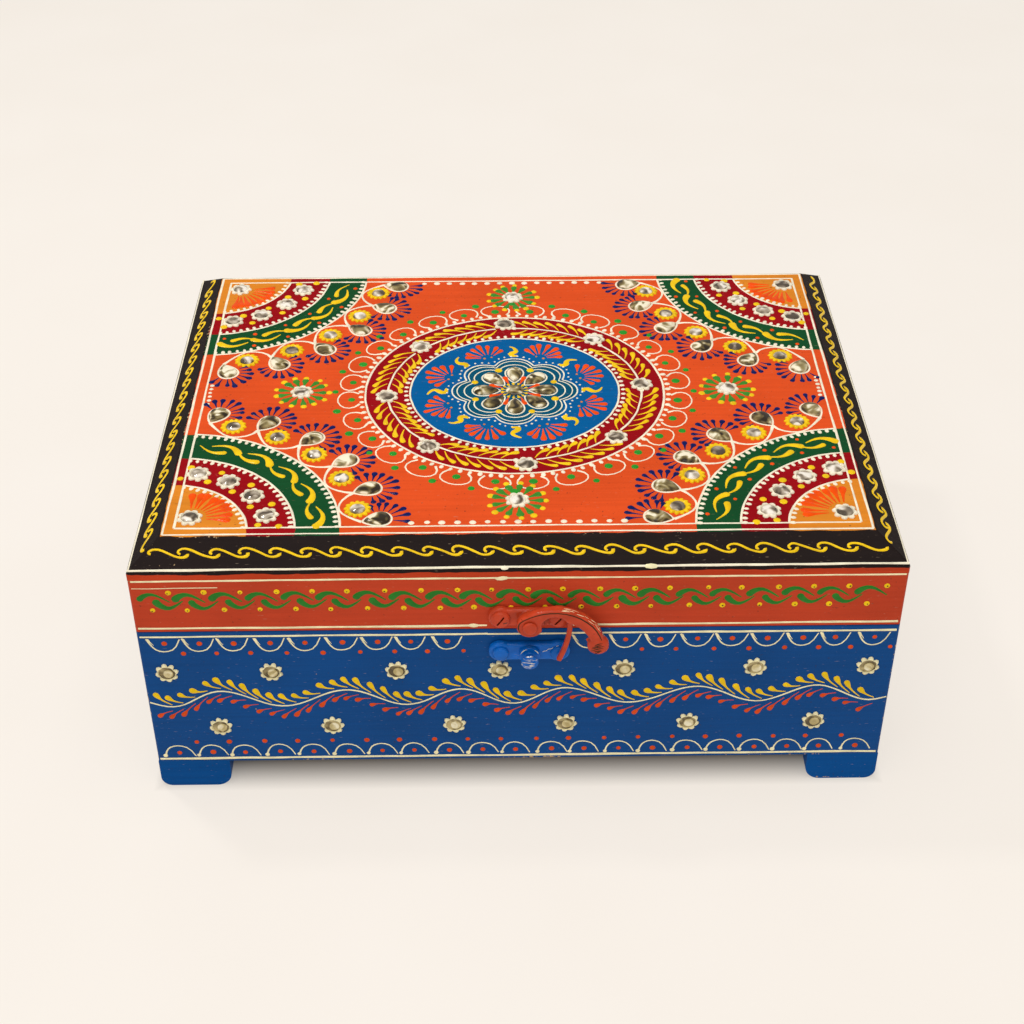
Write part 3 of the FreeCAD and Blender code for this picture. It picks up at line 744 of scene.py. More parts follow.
class ChestPaints(bpy.types.PropertyGroup):
    """Colours of the chest's paints"""

    vermilion: paint_setting("Vermilion", "Field of the lid", "#D94F22")
    brick: paint_setting("Brick red", "Sides of the lid", "#BF4124")
    blue: paint_setting("Deep blue", "Walls", "#064584")
    black: paint_setting("Black", "Bevel round the lid", "#241D1C")
    forest: paint_setting("Forest green", "Outer band of the corners", "#164A28")
    crimson: paint_setting("Crimson", "Wreath and middle band of the corners", "#940E16")
    amber: paint_setting("Amber", "Inner quarter of the corners", "#DA8428")
    azure: paint_setting("Azure", "Disc in the middle", "#065A96")
    teal: paint_setting("Teal", "Ground of the flower", "#08506C")
    cream: paint_setting("Cream", "Lines, loops and paste", "#F6ECD2")
    yellow: paint_setting("Yellow", "Scrolls, leaves and dots", "#F4C814")
    leaf: paint_setting("Leaf green", "Dots round the wreath", "#2A942A")
    daisy: paint_setting("Daisy green", "Petals of the daisies", "#3F8A2C")
    vine: paint_setting("Vine green", "Vine on the lid's sides", "#2A7A28")
    scarlet: paint_setting("Scarlet", "Fans and strokes on the lid", "#F25004")
    madder: paint_setting("Madder", "Strokes and dots on the walls", "#DC4C14")
    straw: paint_setting("Straw", "Thin lines on the walls and rails", "#F8EDBE")
    # Umber also paints the shade in the hook's arch
    umber: paint_setting("Umber", "Specks in the berries, dirt in the latch", "#4A2A14")
    navy: paint_setting("Navy", "Rays round the pears", "#0C1858")
    felt: paint_setting("Felt", "Lining of the floor", "#6B1A24")


class ChestSizes(bpy.types.PropertyGroup):
    """Sizes of the chest's paint work and stage"""

    line_width: length_setting("Line width", "Width of a ruled line", 0.95)
    bead_radius: length_setting("Bead radius", "Radius of a cream bead", 0.8)
    paint_rise: FloatProperty(
        name="Paint rise",
        description="Height of the paint over half its width",
        default=0.5,
        subtype="FACTOR",
    )
    scroll_pitch: length_setting("Scroll pitch", "Spacing of the scrolls on the bevel", 10.0)
    vine_pitch: length_setting("Vine pitch", "Spacing of the vine's leaves", 11.8)
    felt_thickness: length_setting("Felt thickness", "Thickness of the lining", 1.0)
    lens: FloatProperty(name="Lens", description="Focal length in millimetres", default=60.71)


# Operators


class CHEST_OT_paint_frame(bpy.types.Operator):
    """Paint the boards, rails, walls and feet, and finish the timber and the steel"""

    bl_idname = "chest.paint_frame"
    bl_label = "Paint the frame"

    def execute(self, context):
        paints = context.scene.chest_paints
        board = enamel(
            "lid_board_enamel",
            paints.vermilion,
            (
                (paints.crimson, "centre", 1, 53.4),
                (paints.azure, "centre", 1, 37.4),
                (paints.teal, "flower", 1, 22.2),
                (paints.forest, "corner", 1, CORNER_BANDS[2] - 0.1),
                (paints.crimson, "corner", 1, CORNER_BANDS[1] - 0.1),
                (paints.amber, "corner", 1, CORNER_BANDS[0] - 0.1),
                (paints.black, "field", -1, 0.0),
                (paints.brick, "height", 1, ARRIS - 0.9),
                ("wood", "height", 1, ARRIS - 3.3),
            ),
            (45, 1.3, 1.3),
            (("field", 0.2),),
            0.015,
        )
        bare = (("wood", "side", 1, -4.0),)
        arris = ("upright", -0.4)
        rail = enamel("lid_rail_enamel", paints.brick, bare, (45, 45, 1.1), (arris,), 0.07)
        wall = enamel("wall_enamel", paints.blue, bare, (45, 45, 1.2), (arris, ("height", 12.2)), 0.08)
        foot_edges = (("height", 0.6), arris)
        foot = enamel("foot_enamel", linear("#064B8E"), (), (30, 30, 1.5), foot_edges, 0.03)
        wood = timber("planed_hardwood", linear("#C9A573"), linear("#97704A"))
        steel = pin_steel("drawn_steel")
        red = painted_casting("red_fitting_enamel", paints.brick, "#4A3A34", 1.29)
        # The blue fittings take the brightened wall blue, painted light
        blue = painted_casting("blue_fitting_enamel", linear(LIT_FITTING_BLUE), "#8A8478", 1.30)
        finishes = {
            "lid_paint": board,
            "rail_paint": rail,
            "wall_paint": wall,
            "bare_wood": wood,
            "pin_steel": steel,
            "red_metal": red,
            "blue_metal": blue,
        }
        for part in frame["record"]["subparts"]:
            node = frame["nodes"][part["node"]]
            material = foot if part["node"].endswith("_foot") else finishes.get(part["material_slot"])
            if material:
                for slot in node.material_slots:
                    slot.material = material
        return {"FINISHED"}


class CHEST_OT_rule_lines(bpy.types.Operator):
    """Rule the cream lines round the lid and along the walls"""

    bl_idname = "chest.rule_lines"
    bl_label = "Rule the lines"

    def execute(self, context):
        width = context.scene.chest_sizes.line_width / MM
        lid = Drawing("lid_lines", "lid", 11)
        for inset in (0.7, 4.1):
            ends = [(x * (FIELD_X - inset), y * (FIELD_Y - inset)) for x, y in CORNERS]
            for start, end in zip(ends, ends[1:] + ends[:1]):
                lid.ruled("cream", "top", start, end, width * 0.8)
        case = Drawing("case_lines", "case", 12)
        high = ARRIS - 3.5
        low = ARRIS - 23.7
        for side, half in HALVES.items():
            lid.ruled("cream", side + "_bevel", (-half + 0.5, 0.9), (half - 0.5, 0.9), width * 0.78)
            lid.ruled("straw", side, (-half + 1, high), (half - 1, high), width * 0.7)
            ends = [-half + 1, *LINE_GAPS.get(side, ()), half - 1]
            for start, end in zip(ends[::2], ends[1::2]):
                lid.ruled("straw", side, (start, low), (end, low), width * 0.9)
                case.ruled("straw", side, (start, UPPER_LINE), (end, UPPER_LINE), width * 0.85)
            case.ruled("straw", side, (-half + 1, LOWER_LINE), (half - 1, LOWER_LINE), width)
        lid.ruled("straw", "front", (-126, ARRIS - 6.6), (-98, ARRIS - 6.4), width * 0.3)
        # The line under the latch is thinner
        start, end = LINE_GAPS["front"]
        case.ruled("straw", "front", (start, UPPER_LINE), (end, UPPER_LINE), width * 0.7)
        # Blots where the brush was set down
        lid.dot("straw", "front", (-5.5, high), 0.85, 2.7)
        lid.dot("straw", "front", (LATCH_X - 18.5, low), 0.8, 2.2)
        lid.dot("cream", "front_bevel", (-4.5, 0.6), 0.8, 1.8)
        lid.dot("straw", "front_bevel", (43, 0.7), 0.9, 2.6)
        lid.lay(context)
        case.lay(context)
        return {"FINISHED"}


class CHEST_OT_draw_mandala(bpy.types.Operator):
    """Draw the flower, the wreath and the loops in the middle of the lid"""

    bl_idname = "chest.draw_mandala"
    bl_label = "Draw the mandala"

    def execute(self, context):
        bead = context.scene.chest_sizes.bead_radius / MM
        art = Drawing("mandala", "lid", 21)
        for radius, width in ((53.6, 0.8), (37.5, 0.7)):
            ring = [in_wreath(radius + art.slip(0.12), 360 * i / 96) for i in range(96)]
            art.line("cream", "top", ring, width, closed=True)
        for count, radius, size in ((98, 55.1, bead), (84, 38.9, bead * 0.88)):
            for i in range(count):
                deg = 360 * i / count
                art.dot("cream", "top", in_wreath(radius, deg), size, 1.3, deg)
        # Open loops outside the wreath, each round a green dot, with another between two loops
        shape = ((3.9, 55.6), (5.9, 57.8), (5.2, 62.0), (0.0, 64.0), (-5.2, 62.0), (-5.9, 57.8), (-3.2, 55.8))
        for i in range(28):
            deg = 360 * i / 28 + 6 + art.slip(0.8)
            grow = 1 + art.slip(0.06)
            points = [in_wreath(55 + (r - 55) * grow, deg, -t * grow) for t, r in shape]
            art.line("cream", "top", points, [0.8, 0.65, 0.55, 0.5, 0.5, 0.6, 1.0])
            art.dot("leaf", "top", in_wreath(58.6, deg), 1.5)
            art.dot("leaf", "top", in_wreath(64.2, deg + 6.4), 1.4)
        # Wheat-ear leaves between the stones of the wreath
        stem_radius = 45.4
        for start in WREATH_DEGS:
            stem = [in_wreath(stem_radius + art.slip(0.2), start + 4.5 + 4 * i) for i in range(10)]
            art.line("cream", "top", stem, 0.75)
            art.dot("cream", "top", stem[-1], 1.0)
            for i in range(7):
                deg = start + 8.0 + i * 5.0
                for way, reach in ((1, 5.2), (-1, 4.8)):
                    head = in_wreath(stem_radius + way * (reach + art.slip(0.5)), deg + 3.2)
                    tail = in_wreath(stem_radius + way * 0.9, deg - 3.9)
                    art.tear("yellow", "top", head, tail, 1.9, bow=way * 0.7, waist=0.5)
        # Scarlet fans and yellow commas on the disc
        comma = (
            (1.5, 24.6), (-0.6, 24.4), (-1.3, 26.4), (0.8, 27.6), (0.9, 29.4), (-0.8, 31.0), (-2.0, 31.4),
        )
        for k in range(8):
            fan = 45 * k + 22.5
            foot = Vector(in_wreath(24.6, fan))
            for i in range(7):
                lean = (i - 3) * 21 + art.slip(3)
                reach = 9.4 - abs(i - 3) * 0.6 + art.slip(0.5)
                head = foot + Vector(polar(reach, fan + lean))
                tail = foot + Vector(polar(2.9, fan + lean))
                art.tear("scarlet", "top", head, tail, 2.1, waist=0.55)
            for lean in (70, -70):
                art.dot("amber", "top", foot + Vector(polar(1.6, fan + lean)), 0.5)
            bend = 1 if k % 2 else -1
            points = [in_wreath(r, 45 * k + art.slip(1), t * bend) for t, r in comma]
            art.line("yellow", "top", points, [0.9, 1.9, 2.3, 2.0, 1.4, 1.0, 0.5])
        # The flower: three lobed lines, fine beads outside, dots at the notches
        for deg in PEAR_DEGS:
            notch = deg + 22.5
            for radius, width in ((22.6, 0.55), (20.8, 0.42), (18.2, 0.5)):
                lobe = []
                for i in range(9):
                    t = i / 4 - 1
                    lobe.append(in_wreath(radius * (1 - 0.17 * abs(t) ** 2.2), deg + 22.5 * t))
                art.line("cream", "top", lobe, width)
            for i in range(8):
                t = (i + 0.5) / 4 - 1
                radius = 24.3 * (1 - 0.15 * abs(t) ** 2.2)
                art.dot("cream", "top", in_wreath(radius, deg + 22.5 * t), 0.42)
            art.dot("yellow", "top", in_wreath(15.4, notch), 1.3)
            tail = polar(4.8, notch + art.slip(8))
            art.tear("scarlet", "top", polar(9.0, notch), tail, 2.3, waist=0.6)
            art.pear("cream", "top", polar(PEAR_REACH, deg), deg, (10.4, 6.4), 0.58)
        for i in range(15):
            art.tear("yellow", "top", polar(4.6, 24 * i), polar(3.1, 24 * i), 1.2)
        art.lay(context)
        return {"FINISHED"}


class CHEST_OT_draw_daisies(bpy.types.Operator):
    """Draw the four daisies and the rows of beads along the field"""

    bl_idname = "chest.draw_daisies"
    bl_label = "Draw the daisies"

    def execute(self, context):
        bead = context.scene.chest_sizes.bead_radius / MM
        art = Drawing("daisy", "lid", 31)
        for spot in DAISIES:
            middle = Vector(spot)
            for i in range(13):
                deg = 360 * i / 13 + art.slip(3)
                head = middle + Vector(polar(7.8, deg))
                tail = middle + Vector(polar(3.6, deg))
                art.tear("daisy", "top", head, tail, 2.7, waist=0.6)
                art.dot("yellow", "top", middle + Vector(polar(9.6 + art.slip(0.4), deg)), 1.15)
        for y in (-FIELD_Y + 6.0, FIELD_Y - 6.0):
            for i in range(15):
                art.dot("cream", "top", (-35 + 5 * i, y), bead * 1.25, 1.15)
        for x in (-FIELD_X + 5.8, FIELD_X - 5.8):
            for i in range(7):
                art.dot("cream", "top", (x, -7 + 2.4 * i), bead * 0.9, 1.1)
        art.lay(context)
        return {"FINISHED"}


class CHEST_OT_draw_corners(bpy.types.Operator):
    """Draw the banded quarter discs in the corners of the lid"""

    bl_idname = "chest.draw_corners"
    bl_label = "Draw the corners"

    def execute(self, context):
        bead = context.scene.chest_sizes.bead_radius / MM
        art = Drawing("corner", "lid", 41)
        for corner in CORNERS:
            for radius in CORNER_BANDS:
                trim = math.degrees(math.asin(4.4 / radius))
                count = round(math.radians(90 - 2 * trim) * radius / 2.75)
                arc = []
                for i in range(count + 1):
                    deg = trim + (90 - 2 * trim) * i / count
                    arc.append(from_corner(corner, radius + art.slip(0.1), deg))
                    turn = deg * corner[0] * corner[1]
                    art.dot("cream", "top", from_corner(corner, radius - 1.25, deg), bead * 0.9, 1.4, turn)
                art.line("cream", "top", arc, 0.8)
            # Flame strokes round the corner stone
            for i in range(9):
                deg = -5 + 12.4 * i + art.slip(2)
                c, s = cos_sin(deg)
                ends = []
                for reach in (12.8 + art.slip(0.6), 5.4):
                    x = FIELD_X - CORNER_STONE[0] - reach * c
                    y = FIELD_Y - CORNER_STONE[1] - reach * s
                    ends.append((corner[0] * x, corner[1] * y))
                art.tear("scarlet", "top", *ends, 2.9, waist=0.5)
            for deg in (8.5, 27.5, 47.5, 67, 84):
                art.dot("yellow", "top", from_corner(corner, 32.0, deg + 1.5), 1.3)
                art.dot("yellow", "top", from_corner(corner, 38.6, deg - 1.5), 1.3)
            # Interlocked strokes along the green band, as radius and angle from the head
            outer = ((50.8, 0), (51.8, 0.9), (53.5, 4.4), (53.3, 8.4), (52.0, 11.8))
            inner = ((49.3, 5.6), (48.8, 7.0), (48.4, 10.2), (49.6, 13.6), (51.9, 16.4))
            for i in range(5):
                deg = 5.5 + 15.2 * i + art.slip(0.6)
                for stroke, width in ((outer, 2.9), (inner, 2.3)):
                    points = [from_corner(corner, r, mirrored(corner, deg + turn)) for r, turn in stroke]
                    art.comma("yellow", "top", points, width, waist=0.52)
                # The front left corner was left without its red dots
                if corner != (-1, -1):
                    for radius, turn in ((54.9, deg + 13.6), (47.2, deg + 1.8)):
                        art.dot("scarlet", "top", from_corner(corner, radius, mirrored(corner, turn)), 0.8)
        art.lay(context)
        return {"FINISHED"}


class CHEST_OT_draw_garlands(bpy.types.Operator):
    """Draw the scalloped garlands and the rays round their pears"""

    bl_idname = "chest.draw_garlands"
    bl_label = "Draw the garlands"

    def execute(self, context):
        art = Drawing("garland", "lid", 51)
        for corner in CORNERS:
            tips = []
            for deg in GARLAND_PEAR_DEGS:
                middle, heading = garland_pear(corner, deg)
                middle = Vector(middle)
                tips.append(middle + Vector(polar(-5.9, heading)))
                art.pear("cream", "top", middle, heading, (9.9, 6.9), 0.75)
                for i in range(11):
                    turn = heading + (i - 5) * 20 + art.slip(2.5)
                    reach = 9.7 + art.slip(0.4) - abs(i - 5) * 0.34
                    head = middle + Vector(polar(reach, turn))
                    if abs(head.x) < FIELD_X - 4.8 and abs(head.y) < FIELD_Y - 4.8:
                        art.tear("navy", "top", head, middle + Vector(polar(4.6, turn)), 2.05)
            # Swags hang towards the corner from tip to tip
            for start, end, low, high in zip(tips, tips[1:], GARLAND_PEAR_DEGS, GARLAND_PEAR_DEGS[1:]):
                half = (low + high) / 2
                swag = ((62.6, low + 1.2), (59.0, half - 2), (59.0, half + 2), (62.6, high - 1.2))
                points = [from_corner(corner, radius, deg) for radius, deg in swag]
                art.line("cream", "top", [start, *points, end], [1.3, 0.8, 0.7, 0.7, 0.8, 1.3])
        art.lay(context)
        return {"FINISHED"}


class CHEST_OT_draw_scrolls(bpy.types.Operator):
    """Draw the yellow running scroll on the black bevel"""

    bl_idname = "chest.draw_scrolls"
    bl_label = "Draw the scrolls"

    def execute(self, context):
        art = Drawing("bevel_scroll", "lid", 61)
        shape = (
            (-5.6, -0.3), (-6.3, -0.2), (-6.5, 0.7), (-5.0, 1.55), (-2.6, 1.2),
            (0.4, -0.2), (3.0, -1.3), (5.2, -1.45), (6.4, -0.7), (6.3, -0.1),
        )
        widths = (0.7, 0.9, 0.85, 0.7, 0.75, 0.75, 0.7, 0.85, 1.35, 1.1)
        for side, half in HALVES.items():
            # The short sides have smaller and bolder scrolls, closer together
            closer, size, bold = (1, 1, 1) if half == HALF_X else (0.82, 0.84, 1.4)
            pitch = context.scene.chest_sizes.scroll_pitch / MM * closer
            reach = half - 8.5
            count = round(2 * reach / pitch)
            for i in range(count):
                middle = -reach + (i + 0.5) * 2 * reach / count
                grow = (1 + art.slip(0.05)) * size
                points = [(middle + u * grow, 6.6 + art.slip(0.25) + v * grow * bold) for u, v in shape]
                art.line("yellow", side + "_bevel", points, [w * bold * (1 + art.slip(0.1)) for w in widths])
        art.lay(context)
        return {"FINISHED"}


class CHEST_OT_draw_vine(bpy.types.Operator):
    """Draw the green vine and its berries round the sides of the lid"""

    bl_idname = "chest.draw_vine"
    bl_label = "Draw the vine"

    def execute(self, context):
        art = Drawing("lid_vine", "lid", 71)
        middle = ARRIS - 12.2
        over = ((0.0, 1.3), (0.5, 2.1), (3.4, 3.5), (6.6, 2.2), (9.6, -0.2))
        under = ((5.2, -0.3), (5.6, -1.2), (8.6, -3.2), (11.4, -1.9), (13.9, 0.3))
        for side, half in HALVES.items():
            run = 2 * half - 8
            count = round(run / (context.scene.chest_sizes.vine_pitch / MM))
            pitch = run / count
            for i in range(count):
                u = -half + 3.4 + i * pitch + art.slip(0.5)
                v = middle + art.slip(0.25)
                art.comma("vine", side, [(u + x, v + z) for x, z in over], 2.6, waist=0.58)
                if i < count - 1:
                    art.comma("vine", side, [(u + x, v + z) for x, z in under], 2.6, waist=0.58)
                for berry in ((u + 0.8 * pitch, middle + 3.9), (u + 0.3 * pitch, middle - 3.6)):
                    art.dot("yellow", side, berry, 0.95)
                    art.dot("umber", side, berry, 0.32, lift=0.22)
        art.lay(context)
        return {"FINISHED"}


class CHEST_OT_draw_walls(bpy.types.Operator):
    """Draw the scallops, the wavy stems and the arches on the walls"""

    bl_idname = "chest.draw_walls"
    bl_label = "Draw the walls"

    def execute(self, context):
        # Loops under the upper line and arches over the lower one: share of their width, height
        swag = ((0.0, 69.2), (0.1, 66.4), (0.28, 63.8), (0.55, 63.2), (0.86, 64.8), (0.99, 69.0))
        arch = ((0.0, 14.8), (0.05, 17.4), (0.22, 19.4), (0.5, 19.9), (0.82, 18.2), (0.95, 14.6))
        widths = [0.6, 0.55, 0.48, 0.45, 0.45, 0.4]
        for seed, (side, half) in enumerate(HALVES.items(), 81):
            art = Drawing(side + "_wall", "case", seed)
            steps = round(2 * half / 4)
            points = []
            for i in range(steps + 1):
                u = -half + 0.6 + (2 * half - 1.2) * i / steps
                points.append((u, stem_height(u) + art.slip(0.1)))
            art.line("straw", side, points, 0.55)
            leaf_pitch = 4.3
            for i in range(round((2 * half - 9) / leaf_pitch)):
                u = -half + 4.6 + i * leaf_pitch + art.slip(0.4)
                head = (u - 1.7, stem_height(u - 1.7) + 4.7 + art.slip(0.5))
                tail = (u + 3.4, stem_height(u + 3.4) + 1.1)
                art.tear("yellow", side, head, tail, 2.3, bow=-0.6, waist=0.33)
                head = (u - 1.4, stem_height(u - 1.4) - 4.6 + art.slip(0.6))
                tail = (u + 3.2, stem_height(u + 3.2) - 1.7)
                art.tear("madder", side, head, tail, 1.8, bow=0.3, waist=0.22)
            run = 2 * half - 5
            count = round(run / 11.9)
            pitch = run / count
            for i in range(count):
                u = -half + 2.8 + i * pitch + art.slip(0.4)
                wide = pitch * (0.9 + art.slip(0.05))
                hidden = side == "front" and LATCH_X - 17 < u + wide / 2 < LATCH_X + 13
                if side == "back":
                    hidden = any(abs(u + wide / 2 - x) < 19 for x in HINGES_X)
                if not hidden:
                    points = [(u + x * wide, z + art.slip(0.2)) for x, z in swag]
                    art.line("straw", side, points, widths)
                    art.tear("straw", side, (u + 0.5, 68.6), (u + 0.2 * wide, 66.2), 1.0)
                    art.dot("madder", side, (u + 0.52 * wide, 66.9), 0.95)
                    art.dot("madder", side, (u + 1.04 * wide, 62.4), 0.85)
                points = [(u + x * wide, z + art.slip(0.2)) for x, z in arch]
                art.line("straw", side, points, widths)
                art.dot("straw", side, (u, 14.9), 0.8)
                art.dot("madder", side, (u + 0.46 * wide, 16.2), 0.95)
                if i:
                    art.dot("madder", side, (u - 0.03 * wide, 21.4), 0.9)
            art.lay(context)
        return {"FINISHED"}


class CHEST_OT_set_stones(bpy.types.Operator):
    """Set the cut stones in their paste flowers on the lid and the walls"""

    bl_idname = "chest.set_stones"
    bl_label = "Set the stones"

    def execute(self, context):
        paints = context.scene.chest_paints
        # Four tones each, dark to light, whose flashes are painted reflections in the stones
        glass = foil_glass("foiled_glass", ("#2A2010", "#6A5A34", "#9A8A5C", "#F4EACE"))
        mirror = foil_glass("silvered_glass", ("#51463A", "#887A68", "#B6A996", "#EFE7DA"))
        # Dark brown glass for the dishes under the wall chips, painted shade of their recess
        dull = foil_glass("recess_shade_glass", ("#54472A", "#7E6E46", "#9C8C60", "#BCAA78"))
        chip = foil_glass("clouded_glass", ("#B2A06A", "#CCBB88", "#DCCFA4", "#EFE6C6"))
        cream = relief_paint("cream", paints.cream)
        straw = relief_paint("straw", paints.straw)
        yellow = relief_paint("yellow", paints.yellow)
        hand = random.Random(91)
        gem = turned(((1, -0.1), (1, 0.3), (0.86, 0.66), (0.55, 0.95), (0.2, 1.0)), 12, "cap")
        flower = petal_ring(((4.35, -0.1), (4.3, 0.3), (3.7, 0.72), (3.15, 0.7), (2.7, 0.1)), 8, 0.27)
        daisy = petal_ring(((4.7, -0.1), (4.6, 0.35), (3.9, 0.72), (3.2, 0.6), (2.55, 0.1)), 13, 0.22)
        face = FACES["top"]

        def set_at(point, radius=1, height=1, deg=None):
            """A stone's place on its face, turned by a chance angle unless one is given."""
            turn = Matrix.Rotation(math.radians(hand.uniform(0, 360) if deg is None else deg), 4, "Z")
            size = Matrix.Diagonal((radius, radius, height, 1))
            return Matrix.Translation((point[0], point[1], 0)) @ turn @ size

        def in_corners(radius, degs):
            """Points at a radius and at some angles round each of the four corners."""
            return [from_corner(corner, radius, deg) for corner in CORNERS for deg in degs]

        inset = Vector((FIELD_X, FIELD_Y)) - Vector(CORNER_STONE)
        spots = {
            "lid_centre_stone": [(0, 0)],
            "lid_daisy_stones": DAISIES,
            "lid_wreath_stones": [polar(WREATH_REACH, deg) for deg in WREATH_DEGS],
            "lid_corner_stones": [(x * inset.x, y * inset.y) for x, y in CORNERS],
            "lid_crimson_stones": in_corners(CRIMSON_REACH, CRIMSON_DEGS),
            "lid_garland_stones": in_corners(GARLAND_REACH, GARLAND_DEGS),
        }
        radii = {"lid_centre_stone": 3.3, "lid_garland_stones": 2.6}
        for node, points in spots.items():
            places = [face @ set_at(p, radii.get(node, 2.75), 1.1) for p in points]
            material = glass if node == "lid_centre_stone" else mirror
            finished(repeated(gem, places), node + "_cut", material, "lid", (node,), angle=12)
            if node != "lid_centre_stone":
                shape, paste = (daisy, yellow) if node == "lid_garland_stones" else (flower, cream)
                rings = repeated(shape, [face @ set_at(p) for p in points])
                finished(rings, node.replace("_stones", "_settings"), paste, "lid")
        ringed = [(polar(PEAR_REACH, deg), deg) for deg in PEAR_DEGS]
        hung = [garland_pear(corner, deg) for corner in CORNERS for deg in GARLAND_PEAR_DEGS]
        pears = {"lid_mandala_pears": (9.2, 5.2, ringed), "lid_garland_pears": (8.8, 6.1, hung)}
        for node, (length, width, stones) in pears.items():
            pear = pear_gem(length, width, 1.35)
            places = [face @ set_at(p, deg=deg) for p, deg in stones]
            finished(repeated(pear, places), node + "_cut", glass, "lid", (node,), angle=25)
            discard(pear)
        # On the walls a clouded chip lies deep in a ring of eight points, in a dark brown dish that paints
        # the shade of the recess
        star = petal_ring(((4.1, -0.1), (4.05, 0.35), (3.6, 0.8), (3.1, 0.85), (2.75, 0.1)), 8, 0.36)
        dish = turned(((2.85, -0.1), (2.8, 0.3), (2.3, 0.12), (1.0, 0.1), (0.3, 0.1)), 16, "cap")
        rings = ((1.75, 0.02), (1.7, 0.3), (1.3, 0.45), (0.7, 0.42), (0.5, 0.26), (0.15, 0.26))
        heart = turned(rings, 14, "cap")
        for side, (upper, lower) in WALL_ROWS.items():
            face = FACES[side]
            half = HALVES[side]
            points = [(s * half, UPPER_ROW) for s in upper] + [(s * half, LOWER_ROW) for s in lower]
            chips = repeated(dish, [face @ set_at(p) for p in points])
            finished(chips, side + "_wall_chips", dull, "case", (side + "_wall_stones",))
            # The chips sit to the lower right, so the dark dish shows at their upper left as a painted shade
            # crescent
            shifted = [(u + 0.45, v - 0.45) for u, v in points]
            hearts = repeated(heart, [face @ set_at(p) for p in shifted])
            finished(hearts, side + "_wall_hearts", chip, "case")
            rings = repeated(star, [face @ set_at(p) for p in points])
            finished(rings, side + "_wall_settings", straw, "case")
        discard(gem, flower, daisy, star, dish, heart)
        return {"FINISHED"}


